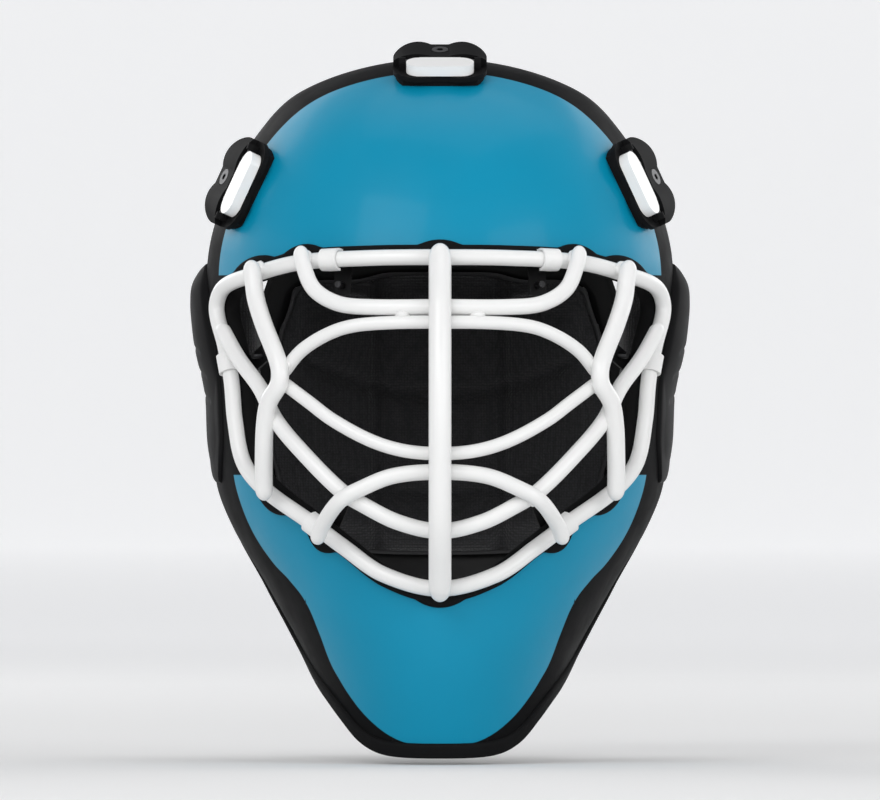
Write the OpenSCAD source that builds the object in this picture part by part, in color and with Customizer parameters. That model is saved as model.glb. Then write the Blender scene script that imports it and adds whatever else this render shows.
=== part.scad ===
// Goalie mask with a welded cat-eye cage, a strapped back plate and a foam liner.
// Millimetres. The mask faces -Y, +X is to the right in the front view, +Z is up.
// The origin is the middle of the head seat. "left" and "right" are -X and +X.

/* [Shell] */
// Height of the crown above the head seat
crown_z = 165; // [163:1:170]
// Wall thickness of the moulded shell
shell_wall = 4; // [3:0.5:5]

/* [Edges] */
// Wall of the rubber trim round the outer rim
trim_wall = 1.8; // [1.2:0.2:2.4]
// How far the rim trim reaches onto the shell
trim_reach = 6; // [4:0.5:8]
// Height of the port gasket under the cage ring
gasket_lift = 2.5; // [2:0.25:3.5]
// How far the port gasket reaches onto the shell
gasket_reach = 7.4; // [6:0.2:9]
// Extra reach of the gasket under each bar end
gasket_boss = 5; // [3:0.5:6]

/* [Cage] */
// Diameter of the perimeter ring
ring_d = 7.6; // [6:0.2:8]
// Diameter of the centre bar
centre_bar_d = 10.8; // [9:0.2:11.6]
// Diameter of the two side bars
side_bar_d = 8.6; // [7:0.2:9]
// Diameter of the brow, chin and mouth bars
cross_bar_d = 7.6; // [6:0.2:8]
// Diameter of the eye bars
eye_bar_d = 6.4; // [5:0.2:7]
// How far the middle of the cage stands in front of the ring
cage_bulge = 18; // [12:1:22]

/* [Padding] */
// Thickness of the forehead, crown and temple foam
pad_t = 13; // [9:1:15]
// Thickness of the jaw and chin foam
jaw_pad_t = 13; // [9:1:14]

/* [Strap clips] */
// Width of a clip base
clip_w = 45; // [44:1:50]
// Depth of a clip base, along the shell
clip_d = 35; // [34:1:38]
// Height of a clip housing over the shell
clip_h = 10; // [9:0.5:11]
// Width of a clip lever
lever_w = 32.5; // [30:0.5:33]
// Depth of a clip lever, from its pin
lever_d = 12.8; // [11:0.2:13]
// Diameter of the lever pins
pin_d = 3; // [2.5:0.1:3.2]
// Radial play of a lever on its pin
pin_play = 0.05; // [0.02:0.01:0.1]

/* [Straps] */
// Width of the elastic straps
strap_w = 25; // [20:1:26]
// Thickness of the elastic straps
strap_t = 1.6; // [1.2:0.2:2]

/* [Back plate] */
// Half width of the back plate
plate_x = 97; // [90:1:98]
// Half height of the back plate
plate_z = 83; // [78:1:84]
// Thickness of the back plate
plate_t = 3; // [2.5:0.5:4]
// Thickness of the back plate foam
plate_pad_t = 14; // [10:1:16]

/* [Throat guard bracket] */
// Diameter of the two lace holes
lace_hole_d = 6; // [5:0.5:6.5]
// Distance between the two lace holes
lace_pitch = 32; // [28:1:34]

/* [Hidden] */

// Level sections of the shell: height, half width, front reach, back reach, centre
sections = [
    [crown_z, 0, 0, 0, -5],
    [150, 65.5, 57, 55, -5],
    [130, 87, 85, 80, -5],
    [100, 103.6, 106, 98, -4],
    [68, 112.3, 120, 103, -1],
    [20, 111.4, 127, 104, 0],
    [-38, 108.4, 126, 98, -3],
    [-62, 99.7, 122, 92, -8],
    [-90, 83, 112, 84, -16],
    [-130, 61.4, 89, 68, -35],
    [-172, 48, 57, 50, -55]
];
// Outer rim, from the chin round one side to the back: angle from the front, height
rim_points = [
    [0, -169.6], [25, -169], [38, -166.8], [49, -161.5], [59, -152.5], [68.5, -144],
    [80, -135], [90, -124], [98, -104], [105, -60], [111, 0], [119, 45], [138, 82], [180, 98]
];
// Centre line of the cage ring in the front view, from bottom to top
ring_points = [
    [0, -89.8], [27, -83], [46, -70], [61.4, -58.6], [84, -42.5], [94, -30],
    [98.2, -10], [100, 9.6], [103.2, 26.4], [107.3, 44], [103.7, 54],
    [90.7, 59.5], [67.7, 65.5], [35, 67.6], [0, 68]
];
// How the grid columns share out over the rim and the port: fraction, rim, port
grid_warp = [
    [0, [0, 0]], [0.28, [0.15, 0.24]], [0.54, [0.5, 0.5]], [0.64, [0.68, 0.585]],
    [0.77, [0.8, 0.67]], [0.88, [0.91, 0.82]], [1, [1, 1]]
];
columns = 104;
rows = 12;

// Half of each bar: front view place and the layer that it stands in
centre_bar_points = [
    [0, 74.5, 9], [0, 66, 9.5], [0, 50, 14], [0, 38, 14.6], [0, 0, 14.6],
    [0, -34, 15.2], [0, -62, 14.6], [0, -80, 11], [0, -90, 9.5], [0, -96, 9]
];
side_bar_points = [
    [90.5, 66.5, 8], [89.2, 58, 8.2], [87.8, 48, 9], [84, 36, 12], [76.8, 17, 15],
    [76.6, 8, 15], [81.5, -1, 15], [83.4, -12, 13], [84, -28, 10], [84, -40, 8.2],
    [83.6, -48, 8]
];
brow_bar_points = [
    [66.7, 73.5, 7.4], [65.4, 65, 7.4], [60, 52.8, 7.4], [48.5, 45.9, 7.4],
    [33, 44.2, 7.4], [0, 44.2, 6]
];
eye_bar_upper_points = [
    [75.8, 11.5, 7.6], [65.3, 24, 7.6], [49, 33.2, 7.4], [33, 36.2, 6.6], [0, 37, 6.2]
];
eye_bar_lower_points = [
    [75.8, 9, 7.6], [62.4, -1, 7.6], [50.9, -9.6, 7.4], [33, -19.2, 6.8],
    [17.3, -24, 6.4], [0, -25.4, 6.2]
];
chin_bar_points = [
    [105.5, 36, 7.4], [96.5, 20.2, 7.4], [85.9, 5.8, 7.4], [78.2, -9.6, 7.4],
    [65.3, -25, 7.4], [47, -43.2, 7.4], [36.5, -49.8, 7.2], [19.7, -58.1, 6], [0, -62.2, 5.6]
];
mouth_arch_points = [
    [59, -68, 7.4], [55.6, -59, 9.4], [47.5, -47.8, 14.4], [37.9, -42.2, 12],
    [22, -36, 7.5], [0, -34.1, 5.8]
];
// Where bar ends stand over the gasket, one side of the mask, and the share of the boss under each
nubs = [
    [0, 74.5, 0.5], [66.7, 73.5, 0.7], [90.5, 66.5, 0.7], [83.6, -48, 0.8], [59, -68, 1.3], [0, -96, 0.4]
];

ring_r = ring_d / 2;
ring_lift = gasket_lift + ring_r;
bar_sides = 8;
cage_mid_z = -11;
cage_half_z = 80;
cage_half_x = 104;

// Clips that hold the cage: fraction of the way round one side of the port
cage_clip_places = [0.22, 0.53, 0.83];
cage_clip_w = 9;
cage_clip_t = 1.2;
cage_clip_foot = 15;
cage_clip_screw_at = 10.5;

// Side guards: front edge angle, back edge angle and height over the shell, by height
guard_edges = [
    [-40, [74, 84, 1.5]], [-20, [71, 100, 2.3]], [0, [71, 105, 2.4]],
    [10, [72, 106, 3.8]], [20, [74, 107, 6]], [30, [76, 107.5, 7.4]],
    [48, [80, 107, 8.2]], [57, [82, 104, 7.8]], [66, [86, 98, 3.4]]
];
guard_wall = 2.2;

// Strap clips
clip_seat_h = 1.5;
tray_h = 4;
lever_t = 5;
pin_v = -3.2;
pin_n = 6.8;
lug_w = 3.2;
clip_side_gap = 0.3;

// Chin cup
cup_pivot_y = -80;
cup_pivot_z = -95;
cup_stud_x = 50;
cup_stud_d = 6;

// Back plate
plate_mid_z = -7;
plate_back_y = 126;
strap_gap = 1;

// ---------------------------------------------------------------- helpers

function unit(v) = v / norm(v);
function flip_x(p) = [for (i = [0:len(p) - 1]) i == 0 ? -p[0] : p[i]];

// Smooth curve through stations [place, value]
function span(st, t, i = 0) = (i > len(st) - 3 || t < st[i + 1][0]) ? i : span(st, t, i + 1);
function rise(st, i) =
    let (a = st[max(i - 1, 0)], b = st[min(i + 1, len(st) - 1)])
    (b[1] - a[1]) / (b[0] - a[0]);
function curve(st, t) =
    let (i = span(st, t), a = st[i], b = st[i + 1], h = b[0] - a[0], u = (t - a[0]) / h)
    a[1] * (1 + 2 * u) * (1 - u) * (1 - u) + h * rise(st, i) * u * (1 - u) * (1 - u)
    + b[1] * u * u * (3 - 2 * u) - h * rise(st, i + 1) * u * u * (1 - u);

// Stations of a list of points, placed by the distance along them
function chord(pts, i = 0, at = 0) =
    i == len(pts) - 1 ? [[at, pts[i]]]
    : concat([[at, pts[i]]], chord(pts, i + 1, at + norm(pts[i + 1] - pts[i])));
function through(pts, n) =
    let (st = chord(pts), total = st[len(st) - 1][0])
    [for (i = [0:n]) curve(st, total * i / n)];
// A half outline with its mirrored neighbours, so that it crosses the middle level
function half_outline(pts) =
    let (n = len(pts))
    chord(concat([flip_x(pts[1])], pts, [flip_x(pts[n - 2])]));
function on_half(st, f) =
    let (a = st[1][0], b = st[len(st) - 2][0])
    curve(st, a + (b - a) * f);
// A half bar, from its end to the middle, carried on to the other side
function both_sides(half) =
    concat([for (p = half) flip_x(p)], [for (i = [len(half) - 2:-1:0]) half[i]]);

// ---------------------------------------------------------------- shell surface
// A place on the shell is a point of a flat map with the crown at its middle.

stations = [for (s = sections) [sqrt(crown_z - s[0]), [s[1], s[2], s[3], s[4]]]];
function spot(angle, z) = sqrt(crown_z - z) * [sin(angle), cos(angle)];
function shell_point(q) =
    let (r = max(norm(q), 0.001), v = curve(stations, r), s = q[0] / r, c = q[1] / r)
    [v[0] * s, v[3] - (c > 0 ? v[1] : v[2]) * c, crown_z - r * r];
function shell_normal(q) =
    let (e = 0.02)
    unit(cross(shell_point(q + [0, e]) - shell_point(q - [0, e]),
               shell_point(q + [e, 0]) - shell_point(q - [e, 0])));
function shell_at(q, off) = shell_point(q) + off * shell_normal(q);
// Map place of a front view point
function front(x, z) =
    let (v = curve(stations, sqrt(crown_z - z)))
    spot(asin(x / v[0]), z);
// Map place whose point at this height over the shell shows at x, z from the front
function under(x, z, off, k = 4) =
    k == 0 ? front(x, z)
    : let (n = shell_normal(under(x, z, off, k - 1))) front(x - off * n[0], z - off * n[2]);
// Map place of a side view point, on one side
function side_spot(y, z, side) =
    let (v = curve(stations, sqrt(crown_z - z)), reach = y < v[3] ? v[1] : v[2])
    spot(side * acos((v[3] - y) / reach), z);

top_clip = spot(0, 157);
right_clip = front(93.2, 102.5);
left_clip = front(-93.2, 102.5);
last_rim = rim_points[len(rim_points) - 2];
rim_outline = chord(concat([flip_x(rim_points[1])], rim_points, [[360 - last_rim[0], last_rim[1]]]));
port_outline = half_outline(ring_points);
function rim_at(f, side) = let (p = on_half(rim_outline, f)) spot(side * p[0], p[1]);
function port_at(f, side) =
    let (p = on_half(port_outline, f), q = under(p[0], p[1], ring_lift)) [side * q[0], q[1]];

// Grid of map places between the port edge and the rim
function warp_at(j) =
    let (u = 2 * j / columns, f = u > 1 ? 2 - u : u)
    curve(grid_warp, f);
function grid_side(j) = 2 * j > columns ? -1 : 1;
port_edge = [for (j = [0:columns - 1]) port_at(warp_at(j)[1], grid_side(j))];
rim_edge = [for (j = [0:columns - 1]) rim_at(warp_at(j)[0], grid_side(j))];
shell_grid = [
    for (i = [0:rows]) [for (j = [0:columns - 1]) port_edge[j] + (rim_edge[j] - port_edge[j]) * i / rows]
];

// Frame on an edge of the grid: place, way onto the shell, normal
function edge_frame(row, next, j) =
    let (p = shell_point(shell_grid[row][j]),
         n = shell_normal(shell_grid[row][j]),
         k = (j + 1) % columns, m = (j + columns - 1) % columns,
         t = unit(shell_point(shell_grid[row][k]) - shell_point(shell_grid[row][m])),
         w = cross(n, t), way = shell_point(shell_grid[next][j]) - p)
    [p, way * w > 0 ? w : -w, n];

// ---------------------------------------------------------------- solids from grids

function wrap_cells(nc, wrap) = wrap ? nc - 1 : nc - 2;
// Closed solid between two grids of points; wrap joins the last column to the first
module between(top, bottom, wrap = false) {
    nr = len(top);
    nc = len(top[0]);
    base = nr * nc;
    turn = cross(top[0][1] - top[0][0], top[1][0] - top[0][0]) * (top[0][0] - bottom[0][0]) > 0;
    cells = [for (i = [0:nr - 2]) for (j = [0:wrap_cells(nc, wrap)])
        [i * nc + j, i * nc + (j + 1) % nc, (i + 1) * nc + (j + 1) % nc, (i + 1) * nc + j]];
    rims = [for (e = [0, 1]) for (j = [0:wrap_cells(nc, wrap)])
        let (i = e * (nr - 1), a = i * nc + j, b = i * nc + (j + 1) % nc)
        e == 0 ? [a, a + base, b + base, b] : [a, b, b + base, a + base]];
    ends = wrap ? [] : [for (e = [0, 1]) for (i = [0:nr - 2])
        let (a = i * nc + e * (nc - 1), b = a + nc)
        e == 0 ? [a, b, b + base, a + base] : [a, a + base, b + base, b]];
    quads = concat([for (c = cells) c], [for (c = cells) [for (k = [3:-1:0]) c[k] + base]],
                   rims, ends);
    faces = [for (f = quads) each [[f[0], f[1], f[2]], [f[0], f[2], f[3]]]];
    polyhedron(points = concat([for (r = top) each r], [for (r = bottom) each r]),
               faces = turn ? [for (f = faces) [f[2], f[1], f[0]]] : faces);
}

// Closed solid through rings of points; loop joins the last ring to the first
module skin_rings(rings, loop = false) {
    nr = len(rings);
    nc = len(rings[0]);
    sides = [for (i = [0:nr - (loop ? 1 : 2)]) for (j = [0:nc - 1])
        let (a = i * nc + j, b = i * nc + (j + 1) % nc, k = (i + 1) % nr)
        each [[a, b, k * nc + (j + 1) % nc], [a, k * nc + (j + 1) % nc, k * nc + j]]];
    caps = loop ? [] : [[for (j = [nc - 1:-1:0]) j], [for (j = [0:nc - 1]) (nr - 1) * nc + j]];
    polyhedron(points = [for (r = rings) each r], faces = concat(sides, caps));
}

// Round wire along a path in front of the face, with ball ends
module wire(path, d) {
    n = len(path);
    r = d / 2;
    tangents = [for (i = [0:n - 1]) unit(path[min(i + 1, n - 1)] - path[max(i - 1, 0)])];
    ball = [[0.99, 0.16], [0.85, 0.53], [0.5, 0.87]];
    starts = [for (b = ball) [path[0] - tangents[0] * r * b[0], tangents[0], r * b[1]]];
    middle = [for (i = [0:n - 1]) [path[i], tangents[i], r]];
    stops = [for (k = [2:-1:0])
        [path[n - 1] + tangents[n - 1] * r * ball[k][0], tangents[n - 1], r * ball[k][1]]];
    skin_rings([for (s = concat(starts, middle, stops)) wire_ring(s[0], s[1], s[2])]);
}
function wire_ring(p, t, r) =
    let (a = unit(cross(t, [0, -1, 0])), b = cross(a, t))
    [for (k = [0:bar_sides - 1])
        let (w = 360 * k / bar_sides) p + r * (cos(w) * a + sin(w) * b)];

// Flat strap through places [point, normal] given as six numbers
module ribbon(places, n, w, t) {
    st = chord([for (p = places) p]);
    total = st[len(st) - 1][0];
    line = [for (i = [0:n]) curve(st, total * i / n)];
    tops = [for (i = [0:n]) ribbon_ring(line, i, n, w, t)];
    skin_rings(tops);
}
function xyz(v) = [v[0], v[1], v[2]];
function normal_of(v) = unit([v[3], v[4], v[5]]);
function ribbon_ring(line, i, n, w, t) =
    let (p = xyz(line[i]), m = normal_of(line[i]),
         d = unit(xyz(line[min(i + 1, n)]) - xyz(line[max(i - 1, 0)])),
         a = unit(cross(m, d)), b = cross(d, a))
    [p - a * w / 2, p + a * w / 2, p + a * w / 2 + b * t, p - a * w / 2 + b * t];

// Square of places from -1 to 1 with rounded corners; round 0.5 makes it an oval
function cushion(n, round) = [
    for (i = [0:n]) [
        for (j = [0:n])
            let (u = 2 * i / n - 1, v = 2 * j / n - 1)
            [u * sqrt(1 - round * v * v), v * sqrt(1 - round * u * u), max(abs(u), abs(v))]
    ]
];

// Foam pad on the inside of the shell; mid and half are an angle and a height
module liner_pad(mid, half, depth, start = shell_wall + 0.4, n = 10, round = 0.25) {
    map = [for (r = cushion(n, round)) [for (c = r)
        [spot(mid[0] + half[0] * c[0], mid[1] + half[1] * c[1]), c[2]]]];
    between(
        [for (r = map) [for (c = r) shell_at(c[0], -start)]],
        [for (r = map) [for (c = r) shell_at(c[0], -start - depth * (1 - 0.45 * pow(c[1], 4)))]]
    );
}

// Put things on a frame of three axes at a place
module on_frame(p, a, b, c) {
    multmatrix([
        [a[0], b[0], c[0], p[0]],
        [a[1], b[1], c[1], p[1]],
        [a[2], b[2], c[2], p[2]]
    ]) children();
}
// Put things on the shell: x runs across the mask, y runs back, z is the normal
module on_shell(q) {
    n = shell_normal(q);
    a = unit(cross([0, 1, 0], n));
    on_frame(shell_point(q), a, cross(n, a), n) children();
}

// ---------------------------------------------------------------- shell and edges

module shell() color("#01728f") {
    between(
        [for (r = shell_grid) [for (q = r) shell_point(q)]],
        [for (r = shell_grid) [for (q = r) shell_at(q, -shell_wall)]],
        wrap = true
    );
}

// Channel section that grips an edge: reach over the outside, cover over the outside
function channel(reach, cover) =
    let (play = 0.05, s = shell_wall)
    [[reach, play], [reach - 0.6, cover], [0, cover], [-trim_wall, 0.6 - trim_wall],
     [-trim_wall, -s + 0.4], [0, -s - trim_wall], [trim_reach, -s - trim_wall],
     [trim_reach, -s - play], [-play, -s - play], [-play, play]];
function swept(row, next, reaches, cover) = [
    for (j = [0:columns - 1])
        let (f = edge_frame(row, next, j))
        [for (c = channel(reaches[j], cover)) f[0] + f[1] * c[0] + f[2] * c[1]]
];

module rim_trim() color("#141414") {
    reaches = [for (j = [0:columns - 1]) trim_reach];
    rings = swept(rows, rows - 1, reaches, trim_wall);
    skin_rings([for (r = rings) [for (k = [9:-1:0]) r[k]]], loop = true);
}

function boss_at(p) =
    gasket_boss * max([for (b = nubs)
        b[2] * max(0, 1 - pow(norm([abs(p[0]) - b[0], p[2] - b[1]]) / 13, 2))]);
module port_gasket() color("#101010") {
    reaches = [for (j = [0:columns - 1])
        gasket_reach + 1.6 * boss_at(shell_point(shell_grid[0][j]))];
    skin_rings(swept(0, 1, reaches, gasket_lift - 0.1), loop = true);
}

module side_guard(side) color("#161616") {
    n_z = 18;
    n_a = 10;
    low = guard_edges[0][0];
    high = guard_edges[len(guard_edges) - 1][0];
    map = [for (i = [0:n_z]) let (z = low + (high - low) * i / n_z, e = curve(guard_edges, z))
        [for (j = [0:n_a]) let (v = 2 * j / n_a - 1,
                                end = min(1, 4 * min(i, n_z - i) / n_z + 0.35))
            [spot(side * (e[0] + (e[1] - e[0]) * (v + 1) / 2), z),
             max(1.6, e[2] * (1 - 0.72 * pow(abs(v), 3)) * end)]]];
    between(
        [for (r = map) [for (c = r) shell_at(c[0], c[1] + 0.1)]],
        [for (r = map) [for (c = r) shell_at(c[0], max(0.1, c[1] - guard_wall))]]
    );
}
module side_guard_left() side_guard(-1);
module side_guard_right() side_guard(1);

// ---------------------------------------------------------------- cage

function bulge(x, z) =
    cage_bulge * max(0, 1 - pow(x / cage_half_x, 2)) * max(0, 1 - pow((z - cage_mid_z) / cage_half_z, 2));
function cage_at(p) =
    let (off = ring_lift + p[2] + bulge(p[0], p[1]))
    shell_at(under(p[0], p[1], off), off);
function bar_path(pts, n) = [for (p = through(pts, n)) cage_at(p)];

module cage_perimeter() color("#f4f4f2") {
    n = 104;
    path = [for (i = [0:n - 1])
        let (u = 2 * i / n) shell_at(port_at(u > 1 ? 2 - u : u, u > 1 ? -1 : 1), ring_lift)];
    skin_rings([for (i = [0:n - 1])
        wire_ring(path[i], unit(path[(i + 1) % n] - path[(i + n - 1) % n]), ring_r)], loop = true);
}
module cage_centre_bar() color("#f4f4f2") wire(bar_path(centre_bar_points, 22), centre_bar_d);
module cage_side_bar_left() color("#f4f4f2")
    wire(bar_path([for (p = side_bar_points) flip_x(p)], 20), side_bar_d);
module cage_side_bar_right() color("#f4f4f2") wire(bar_path(side_bar_points, 20), side_bar_d);
module cage_brow_bar() color("#f4f4f2") wire(bar_path(both_sides(brow_bar_points), 32), cross_bar_d);
module cage_eye_bar_upper() color("#f4f4f2")
    wire(bar_path(both_sides(eye_bar_upper_points), 26), eye_bar_d);
module cage_eye_bar_lower() color("#f4f4f2")
    wire(bar_path(both_sides(eye_bar_lower_points), 26), eye_bar_d);
module cage_chin_bar() color("#f4f4f2") wire(bar_path(both_sides(chin_bar_points), 40), cross_bar_d);
module cage_mouth_arch() color("#f4f4f2")
    wire(bar_path(both_sides(mouth_arch_points), 30), cross_bar_d);

// Put things on the port edge: x is the way onto the shell, y the normal
module on_port(f, side) {
    q = port_at(f, side);
    n = shell_normal(q);
    t = unit(shell_point(port_at(f + 0.01, side)) - shell_point(port_at(f - 0.01, side)));
    w = cross(n, t) * side;
    on_frame(shell_point(q), w, n, cross(w, n)) children();
}
module each_cage_clip() for (side = [-1, 1]) for (f = cage_clip_places) on_port(f, side) children();
module cage_clips() color("#f0f0ee") each_cage_clip() difference() {
    translate([0, 0, -cage_clip_w / 2]) linear_extrude(cage_clip_w) {
        bore = ring_r + 0.35;
        outer = bore + cage_clip_t;
        foot_y = -shell_wall - trim_wall - 0.5 - cage_clip_t;
        difference() {
            translate([0, ring_lift]) circle(r = outer, $fn = 40);
            translate([0, ring_lift]) circle(r = bore, $fn = 40);
            translate([-outer - 1, ring_lift - outer - 1]) square([2 * outer + 2, outer + 1]);
        }
        translate([bore, ring_lift - 1.6]) square([cage_clip_t, 1.6]);
        translate([-outer, foot_y]) square([cage_clip_t, ring_lift - foot_y]);
        translate([-outer, foot_y]) square([outer + cage_clip_foot, cage_clip_t]);
    }
    translate([cage_clip_screw_at, -12, 0]) rotate([-90, 0, 0]) cylinder(d = 3.4, h = 10, $fn = 32);
}
module cage_clip_screws() color("#8d9094") each_cage_clip() {
    seat = -shell_wall - trim_wall - 0.5 - cage_clip_t;
    translate([cage_clip_screw_at, seat - 2.2, 0]) rotate([-90, 0, 0])
        cylinder(d = 6.4, h = 2.2, $fn = 32);
    translate([cage_clip_screw_at, seat - 0.5, 0]) rotate([-90, 0, 0])
        cylinder(d = 3.2, h = 6.5, $fn = 32);
}

// ---------------------------------------------------------------- liner

module forehead_pad() color("#1c1c1e") liner_pad([0, 108], [37, 19], pad_t);
module sweatband() color("#26262a") liner_pad([0, 103], [30, 9], 2.6, shell_wall + pad_t + 0.8, 10, 0.15);
module crown_pad() color("#1c1c1e") {
    map = [for (r = cushion(10, 0.5)) [for (c = r) [[3.9 * c[0], -1.7 + 3.9 * c[1]], c[2]]]];
    start = shell_wall + 0.4;
    between(
        [for (r = map) [for (c = r) shell_at(c[0], -start)]],
        [for (r = map) [for (c = r) shell_at(c[0], -start - pad_t * (1 - 0.45 * pow(c[1], 4)))]]
    );
}
temple_extra = 4;
module temple_pad_left() color("#1c1c1e") liner_pad([-94, 32], [13, 38], pad_t + temple_extra);
module temple_pad_right() color("#1c1c1e") liner_pad([94, 32], [13, 38], pad_t + temple_extra);
module jaw_pad_left() color("#1c1c1e") liner_pad([-83, -62], [15, 42], jaw_pad_t);
module jaw_pad_right() color("#1c1c1e") liner_pad([83, -62], [15, 42], jaw_pad_t);
module chin_pad() color("#1c1c1e") liner_pad([0, -129], [34, 20], jaw_pad_t - 4);

// ---------------------------------------------------------------- chin cup

cup_mid = [0, -72, -122];
module chin_cup() color("#202024") {
    map = [for (r = cushion(10, 0.35)) [for (c = r) [58 * c[0], 42 * c[1] - 18, c[2]]]];
    between(
        [for (r = map) [for (c = r) cup_point(c, 31)]],
        [for (r = map) [for (c = r) cup_point(c, 31 - 6 * (1 - 0.4 * pow(c[2], 4)))]]
    );
}
function cup_point(c, r) =
    cup_mid + r * [sin(c[0]) * cos(c[1]), -cos(c[0]) * cos(c[1]), sin(c[1])];
module chin_cup_straps() color("#1a1a1a") for (side = [-1, 1]) {
    a = [side * 27.4, -92, -119];
    b = [side * (cup_stud_x + 1.6), cup_pivot_y - 2, cup_pivot_z - 7];
    m = [side * 0.9, -0.45, 0];
    hop = [side * 40, -87.5, -110];
    ribbon([concat(a, m), concat(hop, m), concat(b, [side, 0, 0])], 8, 12, 1.4);
}
module chin_cup_eyelets() color("#2b2b2e") for (side = [-1, 1])
    translate([side * cup_stud_x, cup_pivot_y, cup_pivot_z]) rotate([0, side * 90, 0]) difference() {
        cylinder(d = 15, h = 3, $fn = 48);
        translate([0, 0, -1]) cylinder(d = cup_stud_d + 0.12, h = 5, $fn = 48);
    }
module chin_cup_studs() color("#8d9094") for (side = [-1, 1])
    translate([side * cup_stud_x, cup_pivot_y, cup_pivot_z]) rotate([0, side * 90, 0]) {
        translate([0, 0, -2.3]) cylinder(d = 10, h = 2, $fn = 48);
        translate([0, 0, -1]) cylinder(d = cup_stud_d, h = 15.5, $fn = 48);
    }

// ---------------------------------------------------------------- strap clips

module each_strap_clip() for (q = [top_clip, left_clip, right_clip]) on_shell(q) children();
module strap_clip_gasket(q) {
    n = shell_normal(q);
    a = unit(cross([0, 1, 0], n));
    b = cross(n, a);
    mid = shell_point(q);
    map = [for (r = cushion(8, 0.3)) [for (c = r) [21.5 * c[0], 15.5 * c[1]]]];
    between(
        [for (r = map) [for (c = r) mid + a * c[0] + b * c[1] + n * clip_seat_h]],
        [for (r = map) [for (c = r) drop_to_shell(mid + a * c[0] + b * c[1] + n * clip_seat_h, n)]]
    );
}
// Point of the shell straight under p along n, found by small steps
function drop_to_shell(p, n, k = 7) =
    k == 0 ? p : let (q = map_of(p), gap = (p - shell_at(q, 0.1)) * shell_normal(q))
        drop_to_shell(p - n * gap, n, k - 1);
function map_of(p) =
    let (v = curve(stations, sqrt(max(crown_z - p[2], 0.001))),
         a = atan2(p[0] / v[0], (v[3] - p[1]) / (p[1] < v[3] ? v[1] : v[2])))
    near_map(p, spot(a, min(p[2], crown_z - 0.01)));
function near_map(p, q, k = 5) =
    k == 0 ? q
    : let (d = p - shell_point(q),
           du = (shell_point(q + [0.02, 0]) - shell_point(q - [0.02, 0])) / 0.04,
           dv = (shell_point(q + [0, 0.02]) - shell_point(q - [0, 0.02])) / 0.04,
           uu = du * du, vv = dv * dv, uv = du * dv, a = d * du, b = d * dv,
           det = uu * vv - uv * uv)
      near_map(p, q + [a * vv - b * uv, b * uu - a * uv] / det, k - 1);
module strap_clip_gaskets() color("#101010")
    for (q = [top_clip, left_clip, right_clip]) strap_clip_gasket(q);

// Two round lobes joined by a waist, seen along the normal
module lobed_plan(w, d) {
    r = 13;
    intersection() {
        union() {
            for (s = [-1, 1]) translate([s * (w / 2 - r), 0]) {
                translate([0, d / 2 - r]) circle(r = r, $fn = 48);
                translate([0, r - d / 2]) circle(r = r, $fn = 48);
                translate([-r, r - d / 2]) square([2 * r, d - 2 * r]);
            }
            translate([-w / 4, 1.2 - d / 2]) square([w / 2, d - 2.4]);
        }
        translate([-w / 2, -d / 2]) square([w, d]);
    }
}
module strap_clip_bases() color("#151515") each_strap_clip() difference() {
    union() {
        translate([0, 0, clip_seat_h + 0.1]) linear_extrude(tray_h - clip_seat_h - 0.1)
            lobed_plan(clip_w, clip_d);
        intersection() {
            translate([0, 0, tray_h - 0.5]) linear_extrude(clip_h) lobed_plan(clip_w, clip_d);
            translate([0, clip_d / 2, 0]) rotate([90, 0, 0]) linear_extrude(clip_d / 2 + clip_side_gap) {
                for (s = [-1, 1]) translate([s * 11, -12]) circle(r = clip_h + 12, $fn = 96);
                translate([-12, 0]) square([24, clip_h - 1]);
            }
        }
        for (s = [-1, 1]) translate([s * (lever_w / 2 + clip_side_gap + lug_w / 2) - lug_w / 2, pin_v, pin_n])
            rotate([90, 0, 90]) linear_extrude(lug_w) {
                circle(d = 5, $fn = 40);
                translate([-2.5, -pin_n + clip_seat_h + 1]) square([5, pin_n - clip_seat_h - 1]);
            }
    }
    translate([-lever_w, pin_v, pin_n]) rotate([0, 90, 0]) cylinder(d = pin_d, h = 2 * lever_w, $fn = 40);
    translate([0, 9, -5]) cylinder(d = 4.3, h = 30, $fn = 40);
    translate([0, 9, clip_h - 3.5]) cylinder(d = 8.6, h = 10, $fn = 40);
}
module strap_clip_screws() color("#8d9094") each_strap_clip() translate([0, 9, 0]) {
    translate([0, 0, -2.5]) cylinder(d = 4, h = clip_h - 1, $fn = 40);
    difference() {
        translate([0, 0, clip_h - 3.5]) cylinder(d = 8, h = 2.6, $fn = 40);
        translate([0, 0, clip_h - 2.2]) cylinder(d = 3.4, h = 4, $fn = 6);
    }
}
module strap_clip_pins() color("#9a9da1") each_strap_clip() {
    length = lever_w + 2 * (clip_side_gap + lug_w) - 0.4;
    translate([-length / 2, pin_v, pin_n]) rotate([0, 90, 0]) cylinder(d = pin_d, h = length, $fn = 40);
}
module lever() color("#f6f6f4") difference() {
    r = lever_d / 2;
    union() {
        translate([0, pin_v - lever_d + r, pin_n - lever_t / 2]) linear_extrude(lever_t) {
            for (s = [-1, 1]) translate([s * (lever_w / 2 - r), 0]) circle(r = r, $fn = 48);
            translate([-lever_w / 2 + r, -r]) square([lever_w - 2 * r, 2 * r]);
        }
        translate([-lever_w / 2 + r, pin_v, pin_n]) rotate([0, 90, 0])
            cylinder(d = lever_t, h = lever_w - 2 * r, $fn = 40);
    }
    translate([-lever_w, pin_v, pin_n]) rotate([0, 90, 0])
        cylinder(d = pin_d + 2 * pin_play, h = 2 * lever_w, $fn = 40);
}
module lever_top() on_shell(top_clip) lever();
module lever_left() on_shell(left_clip) lever();
module lever_right() on_shell(right_clip) lever();

// ---------------------------------------------------------------- back plate

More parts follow.
